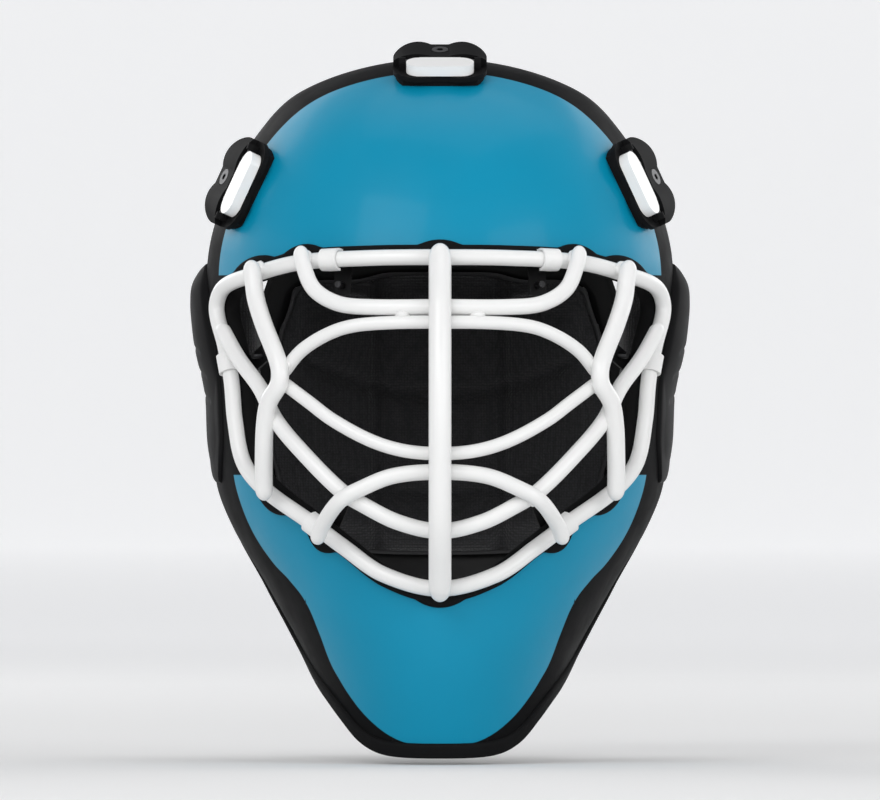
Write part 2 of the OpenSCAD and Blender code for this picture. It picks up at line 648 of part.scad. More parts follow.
function plate_point(x, z) =
    [x, plate_back_y - 84 * (1 - sqrt(1 - pow(x / 110, 2))) - pow((z - plate_mid_z) / 24, 2), z];
function plate_normal(x, z) =
    unit(cross(plate_point(x, z + 1) - plate_point(x, z - 1),
               plate_point(x + 1, z) - plate_point(x - 1, z)));
function plate_at(x, z, off) = plate_point(x, z) + off * plate_normal(x, z);
plate_map = [for (r = cushion(12, 0.22)) [for (c = r)
    [plate_x * c[0] * (1 - 0.05 * c[1] * c[1]), plate_mid_z + plate_z * c[1], c[2]]]];
module backplate() color("#181818") between(
    [for (r = plate_map) [for (c = r) plate_at(c[0], c[1], 0)]],
    [for (r = plate_map) [for (c = r) plate_at(c[0], c[1], -plate_t)]]
);
module backplate_pad() color("#222226") {
    shrink = 0.93;
    map = [for (r = plate_map) [for (c = r)
        [shrink * c[0], plate_mid_z + shrink * (c[1] - plate_mid_z), c[2]]]];
    start = plate_t + 0.1;
    between(
        [for (r = map) [for (c = r) plate_at(c[0], c[1], -start)]],
        [for (r = map) [for (c = r) plate_at(c[0], c[1], -start - plate_pad_t * (1 - 0.4 * pow(c[2], 4)))]]
    );
}

// Strap ends on the back plate: place and the way that the strap runs in
keepers = [
    [0, 60, 0, 1], [-58, 38, -0.5, 0.85], [58, 38, 0.5, 0.85],
    [-72, -24, -0.99, -0.1], [72, -24, 0.99, -0.1]
];
module on_plate(k) {
    n = plate_normal(k[0], k[1]);
    way = [k[2], 0, k[3]];
    b = unit(way - n * (way * n));
    on_frame(plate_point(k[0], k[1]), cross(b, n), b, n) children();
}
module strap_keepers() color("#2a2a2c") for (k = keepers) on_plate(k) {
    gap = strap_t + 2 * strap_gap + 0.8;
    for (s = [-1, 1]) translate([s * (strap_w / 2 + 3.2) - 2, -4, 0.2]) cube([4, 8, gap + 2]);
    translate([-strap_w / 2 - 5.2, -4, gap]) cube([strap_w + 10.4, 8, 2.2]);
}
module keeper_rivets() color("#8d9094") for (k = keepers) on_plate(k)
    for (s = [-1, 1]) translate([s * (strap_w / 2 + 3.2), 0, 0]) {
        gap = strap_t + 2 * strap_gap + 0.8;
        translate([0, 0, gap + 2.2]) cylinder(d1 = 4.4, d2 = 3, h = 1, $fn = 32);
        translate([0, 0, -1.5]) cylinder(d = 2, h = gap + 4, $fn = 32);
    }

// ---------------------------------------------------------------- straps

function lying(q, off) = concat(shell_at(q, off), shell_normal(q));
function on_plate_end(k, along) =
    let (n = plate_normal(k[0], k[1]), way = [k[2], 0, k[3]], b = unit(way - n * (way * n)),
         p = plate_point(k[0], k[1]) + b * along + n * (strap_gap + 0.6))
    concat(p, n);
strap_lift = 2.6;
lower_strap_depth = shell_wall + trim_wall + strap_t + 0.3;
module strap_top() color("#121212") ribbon(concat(
    [for (f = [1.6, 0, -2, -4, -6, -7.6]) lying([0, f], strap_lift)],
    [for (a = [14, 0, -14]) on_plate_end(keepers[0], a)]), 26, strap_w, strap_t);
module strap_upper(side) {
    k = keepers[side < 0 ? 1 : 2];
    ribbon(concat(
        [for (p = [[-27, 103], [5, 101], [35, 98], [60, 94], [77, 90]])
            lying(side_spot(p[0], p[1], side), strap_lift)],
        [for (a = [30, 13, 0, -12]) on_plate_end(k, a)]), 26, strap_w, strap_t);
}
module strap_upper_left() color("#121212") strap_upper(-1);
module strap_upper_right() color("#121212") strap_upper(1);
module strap_lower(side) {
    k = keepers[side < 0 ? 3 : 4];
    ribbon(concat(
        [for (p = [[13, -31.5], [20, -31], [28, -30.5]])
            lying(side_spot(p[0], p[1], side), -lower_strap_depth)],
        [for (a = [33, 13, 0, -12]) on_plate_end(k, a)]), 22, strap_w, strap_t);
}
module strap_lower_left() color("#121212") strap_lower(-1);
module strap_lower_right() color("#121212") strap_lower(1);
module lower_strap_studs() color("#8d9094") for (side = [-1, 1])
    on_shell(side_spot(16, -31.3, side)) {
        translate([0, 0, 0.05]) cylinder(d1 = 9, d2 = 7, h = 1.2, $fn = 48);
        translate([0, 0, -lower_strap_depth - 0.6]) cylinder(d = 4, h = lower_strap_depth + 1.2, $fn = 40);
        translate([0, 0, -lower_strap_depth - 1.2]) cylinder(d = 9, h = 1, $fn = 48);
    }

// ---------------------------------------------------------------- throat guard bracket

bracket_w = 46;
bracket_y = -108.5;
bracket_z = -160;
module throat_guard_bracket() color("#1b1b1b") difference() {
    translate([-bracket_w / 2, bracket_y, bracket_z - 3]) {
        cube([bracket_w, 24, 3]);
        translate([bracket_w / 2 - 10, 0, 0]) cube([20, 3, 12]);
    }
    for (s = [-1, 1]) translate([s * lace_pitch / 2, bracket_y + 15, bracket_z - 10])
        cylinder(d = lace_hole_d, h = 20, $fn = 48);
}
module throat_guard_rivets() color("#8d9094") for (s = [-1, 1])
    translate([s * 6, bracket_y - 7, bracket_z + 5]) rotate([-90, 0, 0]) {
        cylinder(d = 3, h = 10.4, $fn = 32);
        translate([0, 0, 10.1]) cylinder(d = 6, h = 1.2, $fn = 32);
    }

shell();
rim_trim();
port_gasket();
side_guard_left();
side_guard_right();
cage_perimeter();
cage_centre_bar();
cage_side_bar_left();
cage_side_bar_right();
cage_brow_bar();
cage_eye_bar_upper();
cage_eye_bar_lower();
cage_chin_bar();
cage_mouth_arch();
cage_clips();
cage_clip_screws();
forehead_pad();
sweatband();
crown_pad();
temple_pad_left();
temple_pad_right();
jaw_pad_left();
jaw_pad_right();
chin_pad();
chin_cup();
chin_cup_straps();
chin_cup_eyelets();
chin_cup_studs();
strap_clip_gaskets();
strap_clip_bases();
strap_clip_screws();
strap_clip_pins();
lever_top();
lever_left();
lever_right();
backplate();
backplate_pad();
strap_keepers();
keeper_rivets();
strap_top();
strap_upper_left();
strap_upper_right();
strap_lower_left();
strap_lower_right();
lower_strap_studs();
throat_guard_bracket();
throat_guard_rivets();
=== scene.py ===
"""Looks of the goalie mask: shell, cage, liner, straps and fittings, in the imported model's frame.

Lengths in the shape formulas are millimetres, as in the part's own source; meshes are made in metres.
"""

import math

import bmesh
import bpy
import numpy as np
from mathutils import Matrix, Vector
from mathutils.bvhtree import BVHTree


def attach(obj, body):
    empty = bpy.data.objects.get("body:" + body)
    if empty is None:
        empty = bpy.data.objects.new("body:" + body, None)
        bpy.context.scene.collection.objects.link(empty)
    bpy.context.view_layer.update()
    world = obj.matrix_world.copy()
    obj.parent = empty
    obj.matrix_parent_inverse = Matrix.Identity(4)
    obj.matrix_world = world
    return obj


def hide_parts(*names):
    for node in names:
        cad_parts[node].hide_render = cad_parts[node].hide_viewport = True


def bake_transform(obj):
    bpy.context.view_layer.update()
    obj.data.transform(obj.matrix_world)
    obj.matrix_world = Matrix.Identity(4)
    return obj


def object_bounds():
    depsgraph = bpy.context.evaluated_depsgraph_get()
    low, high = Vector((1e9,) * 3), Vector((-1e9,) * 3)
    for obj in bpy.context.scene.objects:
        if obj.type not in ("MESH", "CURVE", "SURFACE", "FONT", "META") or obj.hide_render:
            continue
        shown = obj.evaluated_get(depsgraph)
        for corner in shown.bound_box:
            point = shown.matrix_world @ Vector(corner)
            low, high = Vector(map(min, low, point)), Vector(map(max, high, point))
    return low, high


MM = 0.001
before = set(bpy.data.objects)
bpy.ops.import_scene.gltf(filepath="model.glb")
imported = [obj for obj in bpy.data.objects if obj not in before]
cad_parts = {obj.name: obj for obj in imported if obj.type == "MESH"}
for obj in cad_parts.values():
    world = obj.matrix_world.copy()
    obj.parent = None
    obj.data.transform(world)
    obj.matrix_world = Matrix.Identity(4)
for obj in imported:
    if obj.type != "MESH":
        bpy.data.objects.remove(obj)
CAD_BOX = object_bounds()

# ------------------------------------------------------------------ driving sizes

CROWN_Z = 165.0
SHELL_WALL = 4.0
TRIM_WALL = 1.8
TRIM_REACH = 6.0
GASKET_LIFT = 2.5
GASKET_REACH = 7.4
GASKET_BOSS = 5.0
BOSS_R = 13.0
BOSS_SPREAD = 1.6
LIP_STEPS = 7
RING_R = 3.8
RING_LIFT = GASKET_LIFT + RING_R
CENTRE_BAR_D = 10.8
SIDE_BAR_D = 8.6
CROSS_BAR_D = 7.6
EYE_BAR_D = 6.4
# Gap that still counts as a weld, and the least distance between two welds of a pair
WELD_GAP = 0.8
WELD_APART = 16.0
CAGE_BULGE = 18.0
CAGE_MID_Z = -11.0
CAGE_HALF_Z = 80.0
CAGE_HALF_X = 104.0
PAD_T = 13.0
JAW_PAD_T = 13.0
TEMPLE_EXTRA = 4.0
# The temple cushions are deeper than their CAD pads, to close the gap beside the port
TEMPLE_FILL = 4.0
PAD_GAP = SHELL_WALL + 0.4
PAD_SHRINK = 1.4
PIPING_R = 1.1
# Furthest that the cloth's pressure may move a point of a cushion
PUFF_CAP = 5.0
CLOTH_FRAMES = 20
CLOTH = {
    "quality": 4, "mass": 0.25, "tension_stiffness": 12, "compression_stiffness": 12,
    "bending_stiffness": 0.6, "use_pressure": True, "uniform_pressure_force": 4.0,
}
STRAP_W = 25.0
STRAP_T = 1.6
STRAP_LIFT = 2.6
STRAP_GAP = 1.0
STITCH_INSET = 3.0
STITCH_START = 5.0
STITCH_LENGTH = 16.0
STITCH_PITCH = 2.6
LOWER_STRAP_DEPTH = SHELL_WALL + TRIM_WALL + STRAP_T + 0.3
PLATE_X = 97.0
PLATE_Z = 83.0
PLATE_MID_Z = -7.0
PLATE_BACK_Y = 126.0
PLATE_T = 3.0
PLATE_PAD_T = 14.0
OVAL_X = 44
OVAL_Z = 56
CUP_R = 30.6

# Level sections of the shell: height, half width, front reach, back reach, centre
SECTIONS = [
    (CROWN_Z, 0, 0, 0, -5), (150, 65.5, 57, 55, -5), (130, 87, 85, 80, -5),
    (100, 103.6, 106, 98, -4), (68, 112.3, 120, 103, -1), (20, 111.4, 127, 104, 0),
    (-38, 108.4, 126, 98, -3), (-62, 99.7, 122, 92, -8), (-90, 83, 112, 84, -16),
    (-130, 61.4, 89, 68, -35), (-172, 48, 57, 50, -55),
]
# Outer rim, from the chin round one side to the back: angle from the front, height
RIM = [
    (0, -169.6), (25, -169), (38, -166.8), (49, -161.5), (59, -152.5), (68.5, -144),
    (80, -135), (90, -124), (98, -104), (105, -60), (111, 0), (119, 45), (138, 82), (180, 98),
]
# Centre line of the cage ring in the front view, from bottom to top
RING = [
    (0, -89.8), (27, -83), (46, -70), (61.4, -58.6), (84, -42.5), (94, -30), (98.2, -10),
    (100, 9.6), (103.2, 26.4), (107.3, 44), (103.7, 54), (90.7, 59.5), (67.7, 65.5),
    (35, 67.6), (0, 68),
]
# How the grid columns share out over the rim and the port: fraction, rim, port
GRID_WARP = [
    (0, 0, 0), (0.28, 0.15, 0.24), (0.54, 0.5, 0.5), (0.64, 0.68, 0.585),
    (0.77, 0.8, 0.67), (0.88, 0.91, 0.82), (1, 1, 1),
]
# Bars in the front view, with the layer that each point stands in
CENTRE_BAR = [
    (0, 74.5, 9), (0, 66, 9.5), (0, 50, 14), (0, 38, 14.6), (0, 0, 14.6), (0, -34, 15.2),
    (0, -62, 14.6), (0, -80, 11), (0, -90, 9.5), (0, -96, 9),
]
SIDE_BAR = [
    (90.5, 66.5, 8), (89.2, 58, 8.2), (87.8, 48, 9), (84, 36, 12), (76.8, 17, 15),
    (76.6, 8, 15), (81.5, -1, 15), (83.4, -12, 13), (84, -28, 10), (84, -40, 8.2),
    (83.6, -48, 8),
]
BROW_BAR = [
    (66.7, 73.5, 7.4), (65.4, 65, 7.4), (60, 52.8, 7.4), (48.5, 45.9, 7.4),
    (33, 44.2, 7.4), (0, 44.2, 6),
]
EYE_BAR_UPPER = [
    (75.8, 11.5, 7.6), (65.3, 24, 7.6), (49, 33.2, 7.4), (33, 36.2, 6.6), (0, 37, 6.2),
]
EYE_BAR_LOWER = [
    (75.8, 9, 7.6), (62.4, -1, 7.6), (50.9, -9.6, 7.4), (33, -19.2, 6.8),
    (17.3, -24, 6.4), (0, -25.4, 6.2),
]
CHIN_BAR = [
    (105.5, 36, 7.4), (96.5, 20.2, 7.4), (85.9, 5.8, 7.4), (78.2, -9.6, 7.4),
    (65.3, -25, 7.4), (47, -43.2, 7.4), (36.5, -49.8, 7.2), (19.7, -58.1, 6), (0, -62.2, 5.6),
]
MOUTH_ARCH = [
    (59, -68, 7.4), (55.6, -59, 9.4), (47.5, -47.8, 14.4), (37.9, -42.2, 12),
    (22, -36, 7.5), (0, -34.1, 5.8),
]
# Bar ends over the gasket, and the share of the boss under each
NUBS = [(0, 74.5, 0.5), (66.7, 73.5, 0.7), (90.5, 66.5, 0.7), (83.6, -48, 0.8), (59, -68, 1.3), (0, -96, 0.4)]
# Side guards: height, front edge angle, back edge angle, stand over the shell
GUARD = [
    (-40, 74, 84, 1.5), (-20, 71, 100, 2.3), (0, 71, 105, 2.4), (10, 72, 106, 3.8),
    (20, 74, 107, 6), (30, 76, 107.5, 7.4), (48, 80, 107, 8.2), (57, 82, 104, 7.8),
    (66, 86, 98, 3.4),
]
# Heights of the guards' grooves, their depth, and their slant over half the guard
GUARD_GROOVES = (2, 14, 26)
GROOVE_DEPTH = 0.5
GROOVE_SLANT = 5
# Strap ends on the back plate: place, and the way that the strap runs in
KEEPERS = [
    (0, 60, 0, 1), (-58, 38, -0.5, 0.85), (58, 38, 0.5, 0.85),
    (-72, -24, -0.99, -0.1), (72, -24, 0.99, -0.1),
]


# ------------------------------------------------------------------ shape helpers

class Curve:
    """Smooth curve through stations; each station is a place followed by its values."""

    def __init__(self, stations):
        rows = np.array(stations, float)
        self.at, self.value = rows[:, 0], rows[:, 1:]
        n = len(rows)
        low, high = np.maximum(np.arange(n) - 1, 0), np.minimum(np.arange(n) + 1, n - 1)
        run = (self.at[high] - self.at[low])[:, None]
        self.rise = (self.value[high] - self.value[low]) / run

    def __call__(self, t):
        t = np.asarray(t, float)
        i = np.clip(np.searchsorted(self.at, t, side="right") - 1, 0, len(self.at) - 2)
        h = (self.at[i + 1] - self.at[i])[..., None]
        u = (t - self.at[i])[..., None] / h
        start = self.value[i] * (1 + 2 * u) * (1 - u) ** 2 + h * self.rise[i] * u * (1 - u) ** 2
        stop = self.value[i + 1] * u * u * (3 - 2 * u) - h * self.rise[i + 1] * u * u * (1 - u)
        return start + stop


def unit(v):
    """Vectors of length one"""
    return v / np.linalg.norm(v, axis=-1, keepdims=True)


def dot(a, b):
    """Dot products, kept as a column"""
    return np.sum(a * b, axis=-1, keepdims=True)


def ridge(x, at, width):
    """Bell-shaped ridge of height 1"""
    return np.exp(-((x - at) / width) ** 2)


def round_over(x):
    """Quarter-round rise from 0 at an edge to 1, where x reaches 1"""
    return np.sqrt(np.clip(1 - (1 - np.minimum(x, 1)) ** 2, 0, 1))


def distances(points):
    """Distance along a line to each of its points"""
    return np.concatenate([[0], np.cumsum(np.linalg.norm(np.diff(points, axis=0), axis=1))])


def on_line(at, along, values):
    """Values at distances along a line"""
    return np.stack([np.interp(at, along, column) for column in values.T], -1)


def chord(points):
    """Stations of a list of points, placed by the distance along them"""
    points = np.array(points, float)
    return np.column_stack([distances(points), points])


def through(points, n):
    """n + 1 points on a smooth curve through the given ones"""
    stations = chord(points)
    return Curve(stations)(np.linspace(0, stations[-1, 0], n + 1))


def half_outline(points, before, after):
    """Half of an outline as a function of the fraction along it"""
    stations = chord([before, *points, after])
    curve = Curve(stations)
    low, high = stations[1, 0], stations[-2, 0]
    return lambda f: curve(low + (high - low) * np.asarray(f, float))


def both_sides(half):
    """A bar's half, mirrored to the other side"""
    return [(-p[0], *p[1:]) for p in half] + list(half[-2::-1])


SHELL = Curve([(math.sqrt(CROWN_Z - z), w, f, b, c) for z, w, f, b, c in SECTIONS])


def spot(angle, z):
    """Place on the shell's flat map, from the angle off the front and the height"""
    angle, r = np.radians(angle), np.sqrt(CROWN_Z - np.asarray(z, float))
    return np.stack([r * np.sin(angle), r * np.cos(angle)], -1)


def shell_point(q):
    """Point of the outer surface at a place on the map"""
    r = np.maximum(np.linalg.norm(q, axis=-1), 1e-3)
    w, f, b, c = np.moveaxis(SHELL(r), -1, 0)
    s, k = q[..., 0] / r, q[..., 1] / r
    return np.stack([w * s, c - np.where(k > 0, f, b) * k, CROWN_Z - r * r], -1)


def shell_slopes(q):
    """The surface's two directions at a place on the map"""
    e = 0.02
    du = (shell_point(q + [e, 0]) - shell_point(q - [e, 0])) / (2 * e)
    dv = (shell_point(q + [0, e]) - shell_point(q - [0, e])) / (2 * e)
    return du, dv


def shell_normal(q):
    """Outward normal at a place on the map"""
    du, dv = shell_slopes(q)
    return unit(np.cross(dv, du))


def shell_at(q, off):
    """Point at a height over the shell"""
    return shell_point(q) + np.asarray(off, float)[..., None] * shell_normal(q)


def front_map(x, z):
    """Map place of a front view point"""
    w = SHELL(np.sqrt(CROWN_Z - z))[..., 0]
    return spot(np.degrees(np.arcsin(np.clip(x / w, -1, 1))), z)


def under(x, z, off):
    """Map place whose point at this height over the shell shows at x, z from the front"""
    x, z = np.asarray(x, float), np.asarray(z, float)
    q = front_map(x, z)
    for _ in range(5):
        n = shell_normal(q)
        q = front_map(x - off * n[..., 0], z - off * n[..., 2])
    return q


def side_map(y, z, side):
    """Map place of a side view point, on one side"""
    _, f, b, c = SHELL(math.sqrt(CROWN_Z - z))
    return spot(side * math.degrees(math.acos((c - y) / (f if y < c else b))), z)


def nearest_map(p):
    """Map place nearest to each point"""
    r = np.sqrt(np.maximum(CROWN_Z - p[:, 2], 1e-3))
    w, f, b, c = np.moveaxis(SHELL(r), -1, 0)
    angle = np.arctan2(p[:, 0] / w, (c - p[:, 1]) / np.where(p[:, 1] < c, f, b))
    q = np.stack([r * np.sin(angle), r * np.cos(angle)], -1)
    for _ in range(6):
        d = p - shell_point(q)
        du, dv = shell_slopes(q)
        uu, vv, uv = dot(du, du), dot(dv, dv), dot(du, dv)
        a, b2 = dot(d, du), dot(d, dv)
        step = np.concatenate([a * vv - b2 * uv, b2 * uu - a * uv], -1) / (uu * vv - uv * uv)
        q = q + np.clip(step, -1.5, 1.5)
    return q


ring_half = half_outline(RING, (-RING[1][0], RING[1][1]), (-RING[-2][0], RING[-2][1]))
rim_half = half_outline(RIM, (-RIM[1][0], RIM[1][1]), (360 - RIM[-2][0], RIM[-2][1]))


def port_at(f, side):
    """Map place on the port's edge"""
    p = ring_half(f)
    q = under(p[..., 0], p[..., 1], RING_LIFT)
    return np.stack([np.asarray(side) * q[..., 0], q[..., 1]], -1)


def rim_at(f, side):
    """Map place on the outer rim"""
    p = rim_half(f)
    return spot(np.asarray(side) * p[..., 0], p[..., 1])


def round_trip(columns):
    """Fractions and sides of the columns on the way round the port and the rim"""
    u = 2 * np.arange(columns) / columns
    return np.where(u > 1, 2 - u, u), np.where(u > 1, -1, 1)


def edge_frames(edge, inner):
    """Places, ways onto the shell and normals along a closed edge of the shell"""
    p, n = shell_point(edge), shell_normal(edge)
    t = unit(np.roll(p, -1, axis=0) - np.roll(p, 1, axis=0))
    w = np.cross(n, t)
    way = shell_point(inner) - p
    return p, w * np.sign(dot(w, way)), n


# ------------------------------------------------------------------ mesh builders

def new_object(name, data):
    """Object in the scene"""
    made = bpy.data.objects.new(name, data)
    bpy.context.scene.collection.objects.link(made)
    return made


def enlist(obj, node_name=None, body=None):
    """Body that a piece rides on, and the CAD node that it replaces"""
    if body:
        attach(obj, body)
    if node_name:
        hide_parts(node_name)


def smooth(mesh):
    """Smooth shading on every face"""
    mesh.polygons.foreach_set("use_smooth", [True] * len(mesh.polygons))


def build(name, points, faces, material, body="mask", uv=None, sharp=40):
    """Object from points in millimetres; smooth, with sharp edges past an angle"""
    mesh = bpy.data.meshes.new(name)
    mesh.from_pydata((np.asarray(points) * MM).tolist(), [], [list(map(int, f)) for f in faces])
    mesh.validate()
    if uv is not None:
        layer = mesh.uv_layers.new(name="UVMap")
        corner = np.empty(len(mesh.loops), dtype=np.int32)
        mesh.loops.foreach_get("vertex_index", corner)
        layer.data.foreach_set("uv", (np.asarray(uv) * MM)[corner].ravel())
    smooth(mesh)
    mesh.set_sharp_from_angle(angle=math.radians(sharp))
    mesh.materials.append(material)
    obj = new_object(name, mesh)
    if body:
        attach(obj, body)
    return obj


def grid_faces(rows, columns, wrap, base=0):
    """Quads of a grid of points"""
    reach = columns if wrap else columns - 1
    i, j = np.meshgrid(np.arange(rows - 1), np.arange(reach), indexing="ij")
    k = (j + 1) % columns
    quads = np.stack([i * columns + j, i * columns + k, (i + 1) * columns + k,
                      (i + 1) * columns + j], -1)
    return quads.reshape(-1, 4) + base


def between(name, top, bottom, material, wrap=False, **options):
    """Closed solid between two grids of points"""
    rows, columns = top.shape[:2]
    base = rows * columns
    out = np.cross(top[0, 1] - top[0, 0], top[1, 0] - top[0, 0]) @ (top[0, 0] - bottom[0, 0])
    faces = [grid_faces(rows, columns, wrap), grid_faces(rows, columns, wrap, base)[:, ::-1]]
    reach = columns if wrap else columns - 1
    j = np.arange(reach)
    k = (j + 1) % columns
    last = (rows - 1) * columns
    faces.append(np.stack([j, j + base, k + base, k], -1))
    faces.append(np.stack([last + j, last + k, last + k + base, last + j + base], -1))
    if not wrap:
        i = np.arange(rows - 1) * columns
        faces.append(np.stack([i, i + columns, i + columns + base, i + base], -1))
        i = i + columns - 1
        faces.append(np.stack([i, i + base, i + columns + base, i + columns], -1))
    faces = np.concatenate(faces)
    if out < 0:
        faces = faces[:, ::-1]
    points = np.concatenate([top.reshape(-1, 3), bottom.reshape(-1, 3)])
    return build(name, points, faces, material, **options)


def loft(name, rings, material, loop=False, **options):
    """Closed solid through rings of points"""
    rows, columns = rings.shape[:2]
    faces = grid_faces(rows, columns, True).tolist()
    if loop:
        last = (rows - 1) * columns
        faces += [[last + j, last + (j + 1) % columns, (j + 1) % columns, j] for j in range(columns)]
    else:
        faces += [list(range(columns - 1, -1, -1)), [(rows - 1) * columns + j for j in range(columns)]]
    return build(name, rings.reshape(-1, 3), faces, material, **options)


def wire_rings(path, radius, sides, closed=False, ball=True):
    """Rings of a round wire, with ball ends unless it is closed"""
    radii = np.full(len(path), radius)
    if closed:
        t = unit(np.roll(path, -1, axis=0) - np.roll(path, 1, axis=0))
    else:
        if ball:
            along = distances(path)
            nose = 1.35 * radius
            turn = nose * (1 - np.cos(np.radians(np.linspace(6, 90, 9))))
            middle = np.linspace(nose, along[-1] - nose, len(path))[1:-1]
            at = np.concatenate([turn, middle, along[-1] - turn[::-1]])
            path = on_line(at, along, path)
            near = np.minimum(np.minimum(at, along[-1] - at) / nose, 1)
            radii = radius * np.sqrt(1 - (1 - near) ** 2)
        t = unit(np.gradient(path, axis=0))
    a = unit(np.cross(t, [0, -1, 0]))
    b = np.cross(a, t)
    w = 2 * np.pi * np.arange(sides) / sides
    circle = a[:, None] * np.cos(w)[None, :, None] + b[:, None] * np.sin(w)[None, :, None]
    return path[:, None] + circle * radii[:, None, None]


def join(name, objects):
    """One object from several, in the first one's material, with its faces turned outwards"""
    mesh = bpy.data.meshes.new(name)
    points, faces = [], []
    for obj in objects:
        base = len(points)
        points += [v.co.copy() for v in obj.data.vertices]
        faces += [[base + i for i in p.vertices] for p in obj.data.polygons]
    mesh.from_pydata(points, [], faces)
    smooth(mesh)
    mesh.materials.append(objects[0].data.materials[0])
    made = new_object(name, mesh)
    fix_normals(made)
    for obj in objects:
        bpy.data.objects.remove(obj)
    return made


def fix_normals(obj):
    """Turn the faces outwards"""
    mesh = bmesh.new()
    mesh.from_mesh(obj.data)
    bmesh.ops.recalc_face_normals(mesh, faces=mesh.faces)
    mesh.to_mesh(obj.data)
    mesh.free()


def apply_modifiers(obj):
    """Bake the modifiers into the mesh"""
    graph = bpy.context.evaluated_depsgraph_get()
    made = bpy.data.meshes.new_from_object(obj.evaluated_get(graph))
    obj.modifiers.clear()
    old, obj.data = obj.data, made
    bpy.data.meshes.remove(old)


def subdivide(obj):
    """One smooth subdivision, baked into the mesh"""
    modifier = obj.modifiers.new("smooth", "SUBSURF")
    modifier.levels = modifier.render_levels = 1
    apply_modifiers(obj)


def per_vertex(obj, what="co"):
    """Vertex places in metres, or vertex normals"""
    flat = np.empty(len(obj.data.vertices) * 3)
    obj.data.vertices.foreach_get(what, flat)
    return flat.reshape(-1, 3)


def set_vertices(obj, points):
    """Move the vertices"""
    obj.data.vertices.foreach_set("co", np.asarray(points).ravel())
    obj.data.update()


# ------------------------------------------------------------------ node materials

NOISE_SPAN = (0.3, 0.7)
EDGE_BLUR = 0.0002


def new_material(name):
    """Empty node material and its nodes"""
    mat = bpy.data.materials.new(name)
    mat.use_nodes = True
    return mat, mat.node_tree


def feed(tree, target, inputs):
    """Set a node's inputs; a value may be another node's output"""
    for key, value in inputs.items():
        if isinstance(value, bpy.types.NodeSocket):
            tree.links.new(value, target.inputs[key])
        else:
            target.inputs[key].default_value = value


def node(tree, kind, inputs=None, **settings):
    """Node with its settings and inputs"""
    made = tree.nodes.new(kind)
    for key, value in settings.items():
        setattr(made, key, value)
    feed(tree, made, inputs or {})
    return made


def finish(mat, inputs, *layers):
    """Set the shader's inputs, and bump from layers of (height, strength, distance in metres)"""
    tree = mat.node_tree
    below = {}
    for height, strength, distance in layers:
        bump = node(tree, "ShaderNodeBump", {
            "Height": height, "Strength": strength, "Distance": distance, **below})
        below = {"Normal": bump.outputs["Normal"]}
    feed(tree, tree.nodes["Principled BSDF"], {**inputs, **below})
    return mat


def place(tree):
    """Position on the object, in metres"""
    return node(tree, "ShaderNodeTexCoord").outputs["Object"]


def xyz(tree, vector=None):
    """The three parts of a vector, or of the position on the object"""
    vector = place(tree) if vector is None else vector
    return node(tree, "ShaderNodeSeparateXYZ", {"Vector": vector}).outputs


def math_node(tree, operation, *values):
    """Result of a sum on sockets and numbers"""
    return node(tree, "ShaderNodeMath", dict(enumerate(values)), operation=operation).outputs[0]


def noise(tree, size, detail=3.0):
    """Noise value with features of a size in metres"""
    return node(tree, "ShaderNodeTexNoise", {
        "Vector": place(tree), "Scale": 1 / size, "Detail": detail, "Roughness": 0.55}).outputs["Fac"]


def cells(tree, size, randomness=1.0, at=None, feature="F1"):
    """Distances in a pattern of cells of a size in metres"""
    return node(tree, "ShaderNodeTexVoronoi", {
        "Vector": place(tree) if at is None else at, "Scale": 1 / size,
        "Randomness": randomness}, feature=feature).outputs["Distance"]


def remap(tree, value, low, high, to_low, to_high, smooth=False):
    """Value moved from one range to another"""
    return node(tree, "ShaderNodeMapRange", {
        "Value": value, "From Min": low, "From Max": high, "To Min": to_low, "To Max": to_high},
        interpolation_type="SMOOTHSTEP" if smooth else "LINEAR").outputs["Result"]


def uneven(tree, value, low, high):
    """Noise value spread over a range"""
    return remap(tree, value, *NOISE_SPAN, low, high)


def edge_step(tree, value, at=0.0, before=0, after=1):
    """Crisp change where a value passes an edge"""
    return remap(tree, value, at - EDGE_BLUR, at + EDGE_BLUR, before, after)


def blend_colour(tree, factor, a, b):
    """Mix of two colours or colour sockets"""
    a, b = ((*c, 1) if isinstance(c, tuple) else c for c in (a, b))
    return node(tree, "ShaderNodeMix", {0: factor, 6: a, 7: b}, data_type="RGBA").outputs[2]


def tones(colour, spread):
    """A darker and a lighter tone of a colour"""
    return tuple(c * (1 - spread) for c in colour), tuple(min(c * (1 + spread), 1) for c in colour)


def ripples(tree, value, pitch):
    """Sine ripples of a pitch in metres, from 0 to 1"""
    turns = math_node(tree, "MULTIPLY", value, 2 * math.pi / pitch)
    return math_node(tree, "MULTIPLY_ADD", math_node(tree, "SINE", turns), 0.5, 0.5)


TEAL = (0.0005, 0.2516, 0.4139)
COAT_WHITE = (0.83, 0.83, 0.82)
PALE = (0.80, 0.80, 0.795)
# Strength of the far wall's glow, and the distances that it grows over, in metres
GLOW = 0.42
GLOW_REACH = (0.8, 4.5)
# Rear edge of the teal paint, as height and y, in metres
PAINT_EDGE = [
    (-0.180, -0.120), (-0.1655, -0.1135), (-0.1630, -0.1105), (-0.1535, -0.1025), (-0.144, -0.0952),
    (-0.134, -0.0885), (-0.125, -0.0842), (-0.112, -0.0836), (-0.098, -0.0825), (-0.087, -0.0755),
    (-0.077, -0.0655), (-0.062, -0.059), (-0.045, -0.0562), (0.0, -0.048), (0.060, -0.041),
    (0.100, -0.043), (0.150, -0.0445), (0.180, -0.044),
]
PAINT_Z = (-0.180, 0.180)
PAINT_Y = (-0.160, 0.0)
SIDE_BLACK = (-0.036, 0.060)


